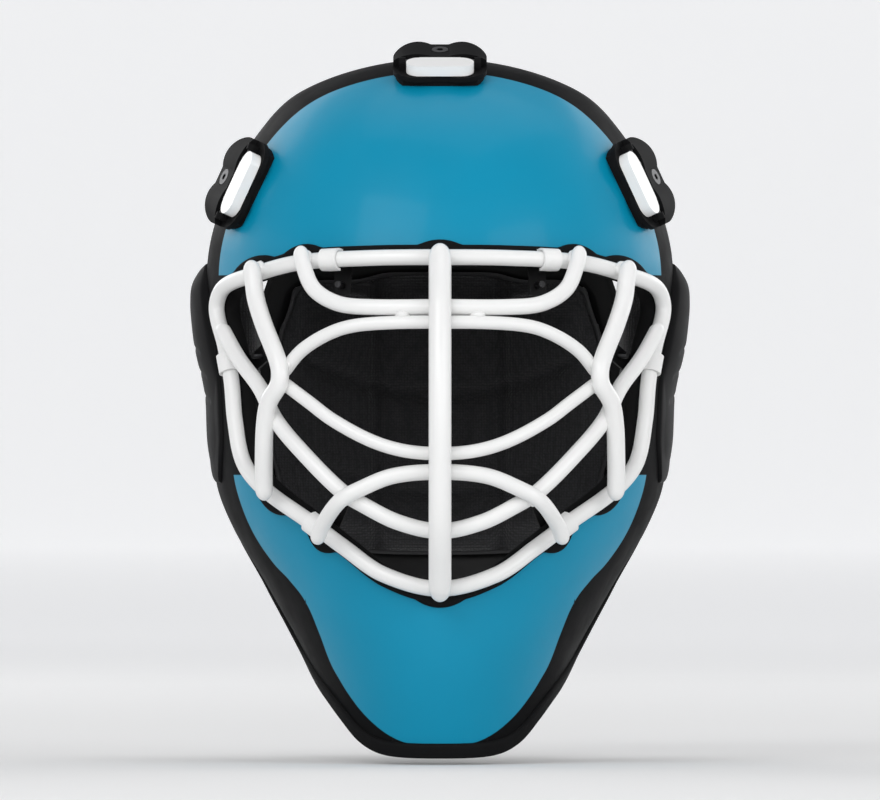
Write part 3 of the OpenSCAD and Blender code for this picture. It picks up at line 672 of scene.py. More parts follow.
def height_line(tree, z, stations, z_range, y_range):
    """The y of a line at each height, from its stations"""
    curve = node(tree, "ShaderNodeFloatCurve", {"Value": remap(tree, z, *z_range, 0, 1)})
    line = curve.mapping.curves[0]
    low, high = np.array([z_range, y_range]).T
    at = (np.array(stations) - low) / (high - low)
    line.points[0].location, line.points[-1].location = at[0], at[-1]
    for x, y in at[1:-1]:
        line.points.new(x, y)
    curve.mapping.update()
    return remap(tree, curve.outputs[0], 0, 1, *y_range)


def shell_paint():
    """Gloss teal in front, black behind the paint edge and beside the cage"""
    mat, tree = new_material("shell_paint")
    _, y, z = xyz(tree)
    edge = height_line(tree, z, PAINT_EDGE, PAINT_Z, PAINT_Y)
    front = edge_step(tree, math_node(tree, "SUBTRACT", edge, y))
    above = edge_step(tree, z, SIDE_BLACK[1])
    below = edge_step(tree, z, SIDE_BLACK[0], 1, 0)
    teal = math_node(tree, "MULTIPLY", front, math_node(tree, "MAXIMUM", above, below))
    shade = blend_colour(tree, noise(tree, 0.05, 2.0), *tones(TEAL, 0.05))
    black = blend_colour(tree, noise(tree, 0.02), (0.0055, 0.0056, 0.006), (0.0085, 0.0085, 0.009))
    smear = uneven(tree, noise(tree, 0.018, 5.0), 0.34, 0.46)
    return finish(mat, {
        "Base Color": blend_colour(tree, teal, black, shade),
        "Roughness": math_node(tree, "MULTIPLY_ADD", teal, -0.12, math_node(tree, "ADD", smear, 0.12)),
        "Specular IOR Level": math_node(tree, "MULTIPLY_ADD", teal, 0.15, 0.02),
        "Coat Weight": math_node(tree, "MULTIPLY", teal, 0.1), "Coat Roughness": 0.12,
    }, (noise(tree, 0.0022, 1.0), 0.12, 0.00006), (teal, 0.6, 0.00008))


def coat(name, colour, size, rough, spread, gloss=0.0, shine=0.5):
    """Fine-grained hard coat or moulding"""
    mat, tree = new_material(name)
    cloud = noise(tree, 0.03)
    return finish(mat, {
        "Base Color": blend_colour(tree, cloud, *tones(colour, spread)),
        "Roughness": uneven(tree, cloud, rough - 0.05, rough + 0.06),
        "Specular IOR Level": shine, "Coat Weight": gloss, "Coat Roughness": 0.15,
    }, (noise(tree, size, 2.0), 0.25, 0.00008))


# Where the clips' white coat ends and their black sleeve starts, as height and y, in metres
SLEEVE_EDGE = [
    (-0.090, -0.1125), (-0.070, -0.1125), (-0.050, -0.1125), (0.008, -0.0645), (0.027, -0.0645),
    (0.056, -0.113), (0.075, -0.113), (0.090, -0.113),
]


SLEEVE_Z = (-0.09, 0.09)
SLEEVE_Y = (-0.13, -0.05)
# The side clips are black inboard of this x too, up to this far above and below their middle
CLIP_FOOT_X = 0.094
SIDE_CLIP_Z = 0.018
SIDE_CLIP_REACH = 0.03


def two_tone_clip():
    """White coat over the ring, black sleeve on the part that reaches inside"""
    mat, tree = new_material("cage_clip_coat")
    x, y, z = xyz(tree)
    edge = height_line(tree, z, SLEEVE_EDGE, SLEEVE_Z, SLEEVE_Y)
    behind = edge_step(tree, math_node(tree, "SUBTRACT", y, edge))
    inboard = edge_step(tree, math_node(tree, "ABSOLUTE", x), CLIP_FOOT_X, 1, 0)
    from_middle = math_node(tree, "ABSOLUTE", math_node(tree, "SUBTRACT", z, SIDE_CLIP_Z))
    beside = remap(tree, from_middle, SIDE_CLIP_REACH, SIDE_CLIP_REACH + 0.001, 1, 0)
    inside = math_node(tree, "MAXIMUM", behind, math_node(tree, "MULTIPLY", inboard, beside))
    grain = noise(tree, 0.0008, 2.0)
    return finish(mat, {
        "Base Color": blend_colour(tree, inside, COAT_WHITE, (0.005, 0.005, 0.0053)),
        "Roughness": uneven(tree, grain, 0.35, 0.5),
        "Specular IOR Level": remap(tree, inside, 0, 1, 0.5, 0.15),
    }, (grain, 0.25, 0.00008))


def knit():
    """Brushed knit over foam: rows of small loops"""
    mat, tree = new_material("liner_foam")
    loop = remap(tree, cells(tree, 0.0013, 0.35), 0.0, 0.7, 1, 0)
    dark = blend_colour(tree, noise(tree, 0.02), (0.006, 0.006, 0.007), (0.012, 0.012, 0.0135))
    return finish(mat, {
        # Painted shade: the colour is lighter on the loops and darker in the gaps between them, following the
        # bump
        "Base Color": blend_colour(tree, loop, dark, (0.028, 0.028, 0.031)),
        "Roughness": 0.9, "Sheen Weight": 0.25,
    }, (loop, 0.7, 0.0004), (noise(tree, 0.0004, 2.0), 0.3, 0.0001))


def terry():
    """Looped towelling"""
    mat, tree = new_material("sweatband_cloth")
    height = remap(tree, cells(tree, 0.0017), 0.0, 0.8, 1, 0)
    return finish(mat, {
        # Painted shade: darker low between the loops and lighter on their tops, from the same height as the
        # bump
        "Base Color": blend_colour(tree, height, (0.012, 0.012, 0.014), (0.05, 0.05, 0.055)),
        "Roughness": 0.95, "Sheen Weight": 0.4,
    }, (height, 0.9, 0.0008), (noise(tree, 0.0003), 0.3, 0.0002))


def webbing():
    """Woven elastic: ribs along the strap and picks across it"""
    mat, tree = new_material("webbing")
    across, along, _ = xyz(tree, node(tree, "ShaderNodeTexCoord").outputs["UV"])
    picks = math_node(tree, "MULTIPLY_ADD", ripples(tree, along, 0.0011), 0.5, 0.5)
    weave = math_node(tree, "MULTIPLY", ripples(tree, across, 0.00178), picks)
    dark = blend_colour(tree, noise(tree, 0.015), (0.005, 0.005, 0.0055), (0.009, 0.009, 0.0095))
    return finish(mat, {
        # Painted shade: the weave's crests are lighter and its hollows darker, from the same pattern as the
        # bump
        "Base Color": blend_colour(tree, weave, dark, (0.02, 0.02, 0.0215)),
        "Roughness": 0.75, "Specular IOR Level": 0.12,
    }, (weave, 0.8, 0.0003))


def leather():
    """Soft leather with a pebbled grain"""
    mat, tree = new_material("cup_leather")
    bend = node(tree, "ShaderNodeTexNoise", {"Vector": place(tree), "Scale": 300.0}).outputs["Color"]
    shift = node(tree, "ShaderNodeVectorMath", {0: bend, 1: (0.0012,) * 3}, operation="MULTIPLY")
    at = node(tree, "ShaderNodeVectorMath", {0: place(tree), 1: shift.outputs[0]}).outputs[0]
    pebbles = cells(tree, 0.0016, at=at, feature="DISTANCE_TO_EDGE")
    height = remap(tree, pebbles, 0, 0.25, 0, 1, smooth=True)
    return finish(mat, {
        # Painted shade: darker in the creases between the pebbles and lighter on their tops, from the same
        # height as the bump
        "Base Color": blend_colour(tree, height, (0.006, 0.006, 0.0065), (0.02, 0.02, 0.021)),
        "Roughness": remap(tree, height, 0, 1, 0.7, 0.42),
    }, (height, 0.6, 0.0002), (noise(tree, 0.004), 0.3, 0.0003))


def steel():
    """Blackened fastener steel with fine tool marks"""
    mat, tree = new_material("fastener_steel")
    marks = noise(tree, 0.0004, 4.0)
    return finish(mat, {
        "Base Color": blend_colour(tree, noise(tree, 0.003), (0.035, 0.035, 0.037), (0.09, 0.09, 0.093)),
        "Roughness": uneven(tree, marks, 0.3, 0.45), "Metallic": 1.0,
    }, (marks, 0.2, 0.00005))


def laminate():
    """Bare glass-fibre laminate inside the shell: dark resin over a plain weave"""
    mat, tree = new_material("shell_laminate")
    x, _, z = xyz(tree)
    weave = math_node(tree, "MULTIPLY", ripples(tree, x, 0.0042), ripples(tree, z, 0.0042))
    resin = blend_colour(tree, noise(tree, 0.02), (0.006, 0.006, 0.0065), (0.01, 0.01, 0.0105))
    return finish(mat, {
        "Base Color": blend_colour(tree, weave, resin, (0.016, 0.016, 0.0165)),
        "Roughness": uneven(tree, noise(tree, 0.006), 0.45, 0.65), "Specular IOR Level": 0.12,
    }, (weave, 0.5, 0.0002))


def backdrop():
    """Plain pale floor; the far wall glows a little, so that it stays pale beyond the lamps"""
    mat, tree = new_material("backdrop")
    x, y, _ = xyz(tree)
    flat = node(tree, "ShaderNodeCombineXYZ", {"X": x, "Y": y}).outputs[0]
    far = node(tree, "ShaderNodeVectorMath", {0: flat}, operation="LENGTH").outputs["Value"]
    return finish(mat, {
        "Base Color": blend_colour(tree, noise(tree, 0.8), PALE, tuple(c * 0.985 for c in PALE)),
        "Roughness": 0.9, "Emission Color": (0.98, 0.985, 1.0, 1),
        "Emission Strength": remap(tree, far, *GLOW_REACH, 0.0, GLOW, smooth=True)})


PAINT = shell_paint()
LAMINATE = laminate()
WHITE_COAT = coat("cage_coat", COAT_WHITE, 0.0009, 0.36, gloss=0.3, spread=0.02)
WHITE_PLASTIC = coat("lever_plastic", (0.84, 0.84, 0.83), 0.0012, 0.33, gloss=0.35, spread=0.015)
RUBBER = coat("rubber", (0.0085, 0.0085, 0.0088), 0.0006, 0.62, spread=0.2, shine=0.035)
GUARD_PLASTIC = coat("guard_plastic", (0.0085, 0.0085, 0.009), 0.0008, 0.5, spread=0.15, shine=0.04)
PLATE_PLASTIC = coat("backplate_plastic", (0.007, 0.007, 0.0074), 0.0009, 0.42, spread=0.15, shine=0.25)
CLIP_PLASTIC = coat("clip_plastic", (0.008, 0.008, 0.0084), 0.0007, 0.5, spread=0.15, shine=0.035)
FOAM = knit()
TERRY = terry()
WEBBING = webbing()
LEATHER = leather()
STEEL = steel()
CLIP_COAT = two_tone_clip()
THREAD = coat("stitch_thread", (0.03, 0.03, 0.032), 0.0003, 0.8, spread=0.3)


# ------------------------------------------------------------------ camera, light and floor

VIEW_WIDTH = 0.4224
AIM_Y = -0.06
SENSOR = 36.0
LENS = 700.0
# Lamps: place and size in metres, power in watts
LAMPS = {
    "key": ((-1.3, -2.4, 1.7), 1.8, 30),
    "fill": ((1.9, -2.0, 1.0), 1.5, 17),
    "top": ((0.2, 0.4, 2.4), 2.2, 12),
    "back_left": ((-1.6, 2.0, 1.3), 1.8, 20),
    "back_right": ((1.8, 1.8, 1.1), 1.8, 16),
    "low": ((0.0, -2.8, 0.8), 1.0, 8),
}
FLOOR_DROP = 3
FLOOR_RADII = (10, 4000, 10000)
BEND_START = 12000
BEND_R = 2000
WALL_TOP = 5000


def make_camera():
    """Long lens straight in front, level with the origin"""
    data = bpy.data.cameras.new("camera")
    data.sensor_width = SENSOR
    data.lens = LENS
    data.clip_end = 100.0
    camera = new_object("camera", data)
    camera.location = (0, AIM_Y - VIEW_WIDTH * LENS / SENSOR, 0)
    camera.rotation_euler = (math.radians(90), 0, 0)
    bpy.context.scene.camera = camera


def make_lamps():
    """Square lights that face the mask, and a pale world"""
    for name, (location, size, power) in LAMPS.items():
        data = bpy.data.lights.new(name, "AREA")
        data.size = size
        data.energy = power
        light = new_object(name, data)
        light.location = location
        light.rotation_euler = Vector(location).to_track_quat("Z", "Y").to_euler()
    world = bpy.data.worlds.new("world")
    world.use_nodes = True
    feed(world.node_tree, world.node_tree.nodes["Background"], {0: (0.95, 0.96, 1.0, 1), 1: 0.34})
    bpy.context.scene.world = world
    bpy.context.scene.view_settings.view_transform = "Standard"


def make_stage():
    """Round floor that sweeps up into a far wall"""
    floor_z = CAD_BOX[0].z / MM - FLOOR_DROP
    around = 72
    turn = np.radians(np.linspace(0, 90, 17))
    line = [(r, floor_z) for r in FLOOR_RADII]
    line += [(BEND_START + BEND_R * math.sin(a), floor_z + BEND_R * (1 - math.cos(a))) for a in turn]
    line.append((BEND_START + BEND_R, WALL_TOP))
    w = 2 * np.pi * np.arange(around) / around
    rings = np.array([[(r * math.cos(a), r * math.sin(a), z) for a in w] for r, z in line])
    faces = grid_faces(len(line), around, True).tolist() + [list(range(around))]
    build("floor", rings.reshape(-1, 3), faces, backdrop(), body=None)


# ------------------------------------------------------------------ shell and edges

def make_shell():
    """Painted moulding with a laminate inside face; its two edges sit under the rubbers"""
    columns, rows = 480, 72
    f, side = round_trip(columns)
    warp = Curve(GRID_WARP)(f)
    port, rim = port_at(warp[:, 1], side), rim_at(warp[:, 0], side)
    share = np.linspace(0, 1, rows + 1)[:, None, None]
    grid = port[None] * (1 - share) + rim[None] * share
    shell = between("shell_moulding", shell_point(grid), shell_at(grid, -SHELL_WALL), PAINT, wrap=True)
    shell.data.materials.append(LAMINATE)
    inside = np.zeros(len(shell.data.polygons), dtype=np.int32)
    inside[rows * columns:2 * rows * columns] = 1
    shell.data.polygons.foreach_set("material_index", inside)
    enlist(shell, "shell")
    return port, rim, grid[1], grid[-2]


def channel(reach, cover):
    """Round-lipped channel section that grips an edge, as (way onto the shell, height)"""
    play, wall, inner = 0.05, SHELL_WALL, SHELL_WALL + TRIM_WALL
    lip = np.radians(np.linspace(0, 90, LIP_STEPS))
    outer = [(reach, play)]
    outer += [(reach - cover * (1 - math.cos(a)) * 0.9, play + (cover - play) * math.sin(a)) for a in lip]
    nose_r = (cover + inner) / 2
    nose = [(-TRIM_WALL * math.sin(a), (cover - inner) / 2 + nose_r * math.cos(a))
            for a in np.radians(np.linspace(0, 180, 2 * LIP_STEPS))]
    back = [(TRIM_REACH - TRIM_WALL * 0.5 * (1 - math.cos(a)), -inner + TRIM_WALL * (1 - math.sin(a)))
            for a in lip[::-1]]
    slot = [(TRIM_REACH, -wall - play), (-play, -wall - play), (-play, play)]
    return np.array(outer + nose + back + slot)


def swept_channel(name, edge, inner, reaches, cover, node_name):
    """Rubber channel along a closed edge"""
    p, w, n = edge_frames(edge, inner)
    sections = np.array([channel(reach, cover) for reach in reaches])
    rings = p[:, None] + w[:, None] * sections[..., :1] + n[:, None] * sections[..., 1:]
    obj = loft(name, rings, RUBBER, loop=True, sharp=55)
    fix_normals(obj)
    enlist(obj, node_name)


def boss_reach(p):
    """Share of the gasket's bosses at each point, in millimetres"""
    bosses = [share * np.maximum(0, 1 - (np.hypot(np.abs(p[:, 0]) - x, p[:, 2] - z) / BOSS_R) ** 2)
              for x, z, share in NUBS]
    return GASKET_BOSS * np.max(bosses, axis=0)


def make_edges(port, rim, port_inner, rim_inner):
    """Gasket with its bosses, and the rim trim"""
    reaches = GASKET_REACH + BOSS_SPREAD * boss_reach(shell_point(port))
    swept_channel("port_gasket_rubber", port, port_inner, reaches, GASKET_LIFT - 0.1, "port_gasket")
    swept_channel("rim_trim_rubber", rim, rim_inner, np.full(len(rim), TRIM_REACH), TRIM_WALL, "rim_trim")


def make_side_guard(side, name):
    """Thin moulded cover with a rolled edge and three shallow grooves"""
    n_z, n_a = 150, 72
    v_z, v_a = np.linspace(0, 1, n_z + 1), np.linspace(-1, 1, n_a + 1)
    z = GUARD[0][0] + (GUARD[-1][0] - GUARD[0][0]) * v_z
    edge = Curve(GUARD)(z)
    near = np.minimum(v_z, 1 - v_z)
    end = round_over(near / 0.22)
    across = 1 - 0.72 * np.abs(v_a) ** 3
    narrow = 0.4 + 0.6 * end
    middle, half = (edge[:, 0] + edge[:, 1]) / 2, (edge[:, 1] - edge[:, 0]) / 2 * narrow
    angle = middle[:, None] + half[:, None] * v_a[None]
    height = np.maximum(1.6, edge[:, 2, None] * across[None] * (0.25 + 0.75 * end[:, None]))
    roll = np.minimum((1 - np.abs(v_a)) / 0.1, 1)
    roll_z = np.minimum(near / 0.035, 1)
    lip = round_over(roll[None] * roll_z[:, None])
    groove = sum(ridge(z[:, None] - g - GROOVE_SLANT * v_a[None], 0, 1.3) for g in GUARD_GROOVES)
    groove = groove * np.clip((0.62 - np.abs(v_a[None])) / 0.12, 0, 1)
    top = 0.12 + (height - GROOVE_DEPTH * groove) * lip
    low = np.full_like(top, 0.1)
    q = spot(side * angle, np.broadcast_to(z[:, None], angle.shape))
    guard = between(name, shell_at(q, top), shell_at(q, low), GUARD_PLASTIC, sharp=60)
    enlist(guard, "side_guard_left" if side < 0 else "side_guard_right")


# ------------------------------------------------------------------ cage

def cage_at(p):
    """Points of a bar from its front view place and layer"""
    flat = np.maximum(0, 1 - (p[:, 0] / CAGE_HALF_X) ** 2)
    tall = np.maximum(0, 1 - ((p[:, 1] - CAGE_MID_Z) / CAGE_HALF_Z) ** 2)
    off = RING_LIFT + p[:, 2] + CAGE_BULGE * flat * tall
    return shell_at(under(p[:, 0], p[:, 1], off), off)


def cage_paths():
    """Every wire of the cage: node, path and radius"""
    f, side = round_trip(360)
    mirrored = [(-p[0], *p[1:]) for p in SIDE_BAR]
    paths = {"cage_perimeter": (shell_at(port_at(f, side), RING_LIFT), RING_R)}
    for name, line, steps, width in (
            ("cage_centre_bar", CENTRE_BAR, 120, CENTRE_BAR_D),
            ("cage_side_bar_left", mirrored, 110, SIDE_BAR_D),
            ("cage_side_bar_right", SIDE_BAR, 110, SIDE_BAR_D),
            ("cage_brow_bar", both_sides(BROW_BAR), 150, CROSS_BAR_D),
            ("cage_eye_bar_upper", both_sides(EYE_BAR_UPPER), 140, EYE_BAR_D),
            ("cage_eye_bar_lower", both_sides(EYE_BAR_LOWER), 140, EYE_BAR_D),
            ("cage_chin_bar", both_sides(CHIN_BAR), 220, CROSS_BAR_D),
            ("cage_mouth_arch", both_sides(MOUTH_ARCH), 170, CROSS_BAR_D)):
        paths[name] = (cage_at(through(line, steps)), width / 2)
    return paths


def weld_places(paths):
    """Where two wires touch: the middle of the contact and the way across it"""
    names = list(paths)
    found = []
    for i, first in enumerate(names):
        for second in names[i + 1:]:
            (a, ra), (b, rb) = paths[first], paths[second]
            gap = np.linalg.norm(a[:, None] - b[None], axis=-1)
            close = gap < ra + rb + WELD_GAP
            while close.any():
                k = np.unravel_index(np.argmin(np.where(close, gap, 1e9)), gap.shape)
                pa, pb = a[k[0]], b[k[1]]
                found.append((pa + (pb - pa) * ra / (ra + rb), unit(pb - pa + [0, -1e-6, 0]), min(ra, rb)))
                close &= np.linalg.norm(a - pa, axis=1)[:, None] > WELD_APART
                close &= np.linalg.norm(b - pb, axis=1)[None] > WELD_APART
    return found


def weld_bead(place_mm, way, radius, seed):
    """Uneven flattened bead, buried between two wires"""
    rng = np.random.default_rng(seed)
    rows, columns = 9, 18
    lat = np.radians(np.linspace(-84, 84, rows))
    lon = 2 * np.pi * np.arange(columns) / columns
    a = unit(np.cross(way, [0.3, 0.2, 1.0]))
    b = np.cross(way, a)
    wobble = 1 + 0.06 * np.sin(3 * lon + rng.uniform(0, 6)) + 0.04 * np.sin(7 * lon + rng.uniform(0, 6))
    wide, tall = radius * 1.12, radius * 0.62
    rings = (a * np.cos(lon)[None, :, None] + b * np.sin(lon)[None, :, None])
    rings = rings * (np.cos(lat)[:, None, None] * wobble[None, :, None] * wide)
    rings = rings + way * (np.sin(lat) * tall)[:, None, None]
    return loft(f"bead_{seed}", place_mm + rings, WHITE_COAT, body=None)


def make_cage():
    """Powder-coated wires and the weld beads where they meet"""
    paths = cage_paths()
    for name, (path, radius) in paths.items():
        closed = name == "cage_perimeter"
        rings = wire_rings(path, radius, 28, closed=closed)
        wire = loft(name + "_wire", rings, WHITE_COAT, loop=closed, sharp=80)
        fix_normals(wire)
        enlist(wire, name)
    beads = [weld_bead(p, w, r, k) for k, (p, w, r) in enumerate(weld_places(paths))]
    enlist(join("cage_welds", beads), body="mask")


# ------------------------------------------------------------------ padding

def cushion(n, rounding):
    """Square of places from -1 to 1 with rounded corners, and the distance to the edge"""
    u, v = np.meshgrid(np.linspace(-1, 1, n + 1), np.linspace(-1, 1, n + 1), indexing="ij")
    return (u * np.sqrt(1 - rounding * v * v), v * np.sqrt(1 - rounding * u * u),
            np.maximum(np.abs(u), np.abs(v)))


def puff(obj, voxel=0.005):
    """Voxel remesh, then fill by cloth pressure; no point moves further than the cap"""
    remesh = obj.modifiers.new("remesh", "REMESH")
    remesh.mode = "VOXEL"
    remesh.voxel_size = voxel
    apply_modifiers(obj)
    rest = per_vertex(obj)
    cloth = obj.modifiers.new("cloth", "CLOTH")
    for key, value in CLOTH.items():
        setattr(cloth.settings, key, value)
    cloth.settings.effector_weights.gravity = 0
    cloth.point_cache.frame_start = 1
    cloth.point_cache.frame_end = CLOTH_FRAMES
    for number in range(1, CLOTH_FRAMES + 1):
        bpy.context.scene.frame_set(number)
    apply_modifiers(obj)
    bpy.context.scene.frame_set(1)
    move = per_vertex(obj) - rest
    length = np.linalg.norm(move, axis=1, keepdims=True)
    set_vertices(obj, rest + move * np.minimum(1, PUFF_CAP * MM / np.maximum(length, 1e-9)))
    subdivide(obj)
    smooth(obj.data)


def over_shell(p):
    """Height of points over the shell, and its normal there"""
    q = nearest_map(p)
    n = shell_normal(q)
    return dot(p - shell_point(q), n)[:, 0], n


def press_channels(obj, value, lines, size, keep):
    """Sewn channels of a width and depth, along lines of a value given per vertex"""
    sink = sum(ridge(value, line, size) for line in lines) * keep
    set_vertices(obj, per_vertex(obj) - per_vertex(obj, "normal") * (sink * size * MM)[:, None])


def piping(name, obj, loop_points, body):
    """Sewn cord round a pad's edge, laid on the pad's surface"""
    tree = BVHTree.FromObject(obj, bpy.context.evaluated_depsgraph_get())
    path = []
    for p in loop_points:
        hit, normal, _, _ = tree.find_nearest(Vector(p * MM))
        path.append(np.array(hit) / MM + np.array(normal) * PIPING_R * 0.35)
    path = np.array(path)
    for _ in range(3):
        path = (np.roll(path, 1, 0) + 2 * path + np.roll(path, -1, 0)) / 4
    cord = loft(name, wire_rings(path, PIPING_R, 8, closed=True), THREAD, loop=True, body=body, sharp=80)
    fix_normals(cord)
    enlist(cord)


def boundary(grid):
    """Points round the edge of a grid"""
    return np.concatenate([grid[:-1, 0], grid[-1, :-1], grid[:0:-1, -1], grid[0, :0:-1]])


def liner_pad(name, node_name, patch, depth, value, lines):
    """Foam pad on the inside of the shell, filled by pressure; sewn along lines of a value"""
    q, w = patch
    top = shell_at(q, -PAD_GAP - 0.3)
    low = shell_at(q, -PAD_GAP - 0.3 - (depth - PAD_SHRINK) * (1 - 0.4 * w ** 4))
    pad = between(name, top, low, FOAM, body=None)
    puff(pad)
    p = per_vertex(pad) / MM
    height, n = over_shell(p)
    set_vertices(pad, (p - n * np.maximum(0, height + PAD_GAP)[:, None]) * MM)
    p = per_vertex(pad) / MM
    inner = np.clip((-over_shell(p)[0] - PAD_GAP - depth * 0.45) / 3, 0, 1)
    press_channels(pad, value(p), lines, 2.6, inner)
    enlist(pad, node_name, "mask")
    piping(name + "_piping", pad, boundary(top * 0.35 + low * 0.65), "mask")
    return pad


def angle_patch(mid, half, rounding=0.25):
    """Map places and edge distance of a patch given by angle and height"""
    u, v, w = cushion(30, rounding)
    return spot(mid[0] + (half[0] - 1.0) * u, mid[1] + (half[1] - 1.5) * v), w


def mirror_pad(pad, name, node_name=None):
    """Mirror image of a pad or its piping for the other side"""
    made = new_object(name, pad.data.copy())
    set_vertices(made, per_vertex(made) * [-1, 1, 1])
    made.data.flip_normals()
    enlist(made, node_name, "mask")


def make_liner():
    """All pads on the inside of the shell"""
    across, up = (lambda p: p[:, 0]), (lambda p: p[:, 2])
    liner_pad("forehead_cushion", "forehead_pad", angle_patch((0, 108), (37, 19)), PAD_T, across, (-22, 22))
    u, v, w = cushion(30, 0.5)
    crown = np.stack([3.8 * u, -1.7 + 3.8 * v], -1), w
    liner_pad("crown_cushion", "crown_pad", crown, PAD_T, lambda p: np.hypot(p[:, 0], p[:, 1] - 20), (26,))
    for label, mid, half, depth, lines in (
            ("temple", (-94, 32), (14, 41), PAD_T + TEMPLE_EXTRA + TEMPLE_FILL, (18, 46)),
            ("jaw", (-83, -62), (15, 42), JAW_PAD_T, (-80, -48))):
        left, right = f"{label}_cushion_left", f"{label}_cushion_right"
        pad = liner_pad(left, f"{label}_pad_left", angle_patch(mid, half), depth, up, lines)
        mirror_pad(pad, right, f"{label}_pad_right")
        mirror_pad(bpy.data.objects[left + "_piping"], right + "_piping")
    liner_pad("chin_cushion", "chin_pad", angle_patch((0, -129), (34, 20)), JAW_PAD_T - 4, across, (0,))
    q, w = angle_patch((0, 103), (30, 9), rounding=0.15)
    start = SHELL_WALL + PAD_T + 0.8
    top, low = shell_at(q, -start - 0.2), shell_at(q, -start - 2.4 + 0.8 * w ** 4)
    band = between("sweatband_towelling", top, low, TERRY, body=None)
    subdivide(band)
    enlist(band, "sweatband", "mask")


# ------------------------------------------------------------------ back plate

def plate_point(x, z):
    """Outer surface of the back plate"""
    y = PLATE_BACK_Y - 84 * (1 - np.sqrt(1 - (x / 110) ** 2)) - ((z - PLATE_MID_Z) / 24) ** 2
    return np.stack([x, y, z], -1)


def plate_normal(x, z):
    """Outward normal of the back plate"""
    return unit(np.cross(plate_point(x, z + 1) - plate_point(x, z - 1),
                         plate_point(x + 1, z) - plate_point(x - 1, z)))


def plate_at(x, z, off):
    """Point at a height over the back plate"""
    return plate_point(x, z) + np.asarray(off, float)[..., None] * plate_normal(x, z)


def plate_map(n, shrink=1.0):
    """Places of the back plate and the distance to its edge"""
    u, v, w = cushion(n, 0.22)
    return shrink * PLATE_X * u * (1 - 0.05 * v * v), PLATE_MID_Z + shrink * PLATE_Z * v, w


def make_backplate():
    """Ribbed plate with a rolled edge, and its quilted foam"""
    x, z, w = plate_map(150)
    roll = round_over((1 - w) / 0.03)
    border = ridge(w, 0.9, 0.018)
    inside = np.clip((0.8 - w) / 0.06, 0, 1)
    rib_ends = np.clip((40 - np.abs(z + 4)) / 5, 0, 1)
    ribs = sum(ridge(x, g, 2.2) for g in (-24, 24)) * rib_ends
    oval = ridge(np.hypot(x / OVAL_X, (z + 4) / OVAL_Z), 1, 0.035)
    relief = -0.8 * border + (0.9 * oval + 0.5 * ribs * (np.abs(x) < OVAL_X)) * inside
    top = plate_at(x, z, -1.5 + 1.5 * roll + relief * roll * 0.8)
    low = plate_at(x, z, -1.5 - 1.5 * roll)
    plate = between("backplate_moulding", top, low, PLATE_PLASTIC, body="backplate", sharp=50)
    enlist(plate, "backplate")
    x, z, w = plate_map(40, 0.915)
    start = PLATE_T + 0.4
    low = plate_at(x, z, -start)
    top = plate_at(x, z, -start - (PLATE_PAD_T - 2.4) * (1 - 0.35 * w ** 4))
    pad = between("backplate_cushion", low, top, FOAM, body=None)
    puff(pad, voxel=0.006)
    p = per_vertex(pad) / MM
    x = np.clip(p[:, 0], -100, 100)
    normal = plate_normal(x, p[:, 2])
    depth = (plate_point(x, p[:, 2])[:, 1] - p[:, 1]) * normal[:, 1]
    p = p - normal * np.maximum(0, PLATE_T + 0.3 - depth)[:, None]
    set_vertices(pad, p * MM)
    inner = np.clip((depth - 8) / 3, 0, 1)
    press_channels(pad, p[:, 0], (-30, 30), 3.0, inner)
    press_channels(pad, p[:, 2] - 0.004 * p[:, 0] ** 2, (-46, 2, 48), 3.0, inner)
    enlist(pad, "backplate_pad", "backplate")
    piping("backplate_cushion_piping", pad, boundary(low * 0.35 + top * 0.65), "backplate")


# ------------------------------------------------------------------ straps

def strap_line(places, n):
    """Places and normals along a strap, from rows of place and normal"""
    stations = chord([row[:3] for row in places])
    rows = np.column_stack([stations[:, 0], np.array(places)])
    line = Curve(rows)(np.linspace(0, stations[-1, 0], n + 1))
    return line[:, :3], unit(line[:, 3:])


def strap(name, places, n, width=STRAP_W, thick=STRAP_T):
    """Flat webbing with round edges, with metres of weave as its map"""
    p, m = strap_line(places, n)
    d = unit(np.gradient(p, axis=0))
    a = unit(np.cross(m, d))
    b = np.cross(d, a)
    r = thick / 2
    corner = np.radians(np.linspace(-90, 90, 7))
    right = [(width / 2 - r + r * math.cos(t), r + r * math.sin(t)) for t in corner]
    left = [(-x, h) for x, h in right[::-1]]
    flat = np.linspace(width / 2 - r, -width / 2 + r, 9)[1:-1]
    over = [(x, thick) for x in flat]
    beneath = [(-x, 0.0) for x in flat]
    section = np.array(right + over + left + beneath)
    rings = p[:, None] + a[:, None] * section[None, :, :1] + b[:, None] * section[None, :, 1:]
    along = distances(p)
    uv = np.stack([np.broadcast_to(section[None, :, 0], rings.shape[:2]),
                   np.broadcast_to(along[:, None], rings.shape[:2])], -1)
    obj = loft(name, rings, WEBBING, body=None, uv=uv.reshape(-1, 2), sharp=60)
    fix_normals(obj)
    enlist(obj)
    return obj, (p, a, b, along)


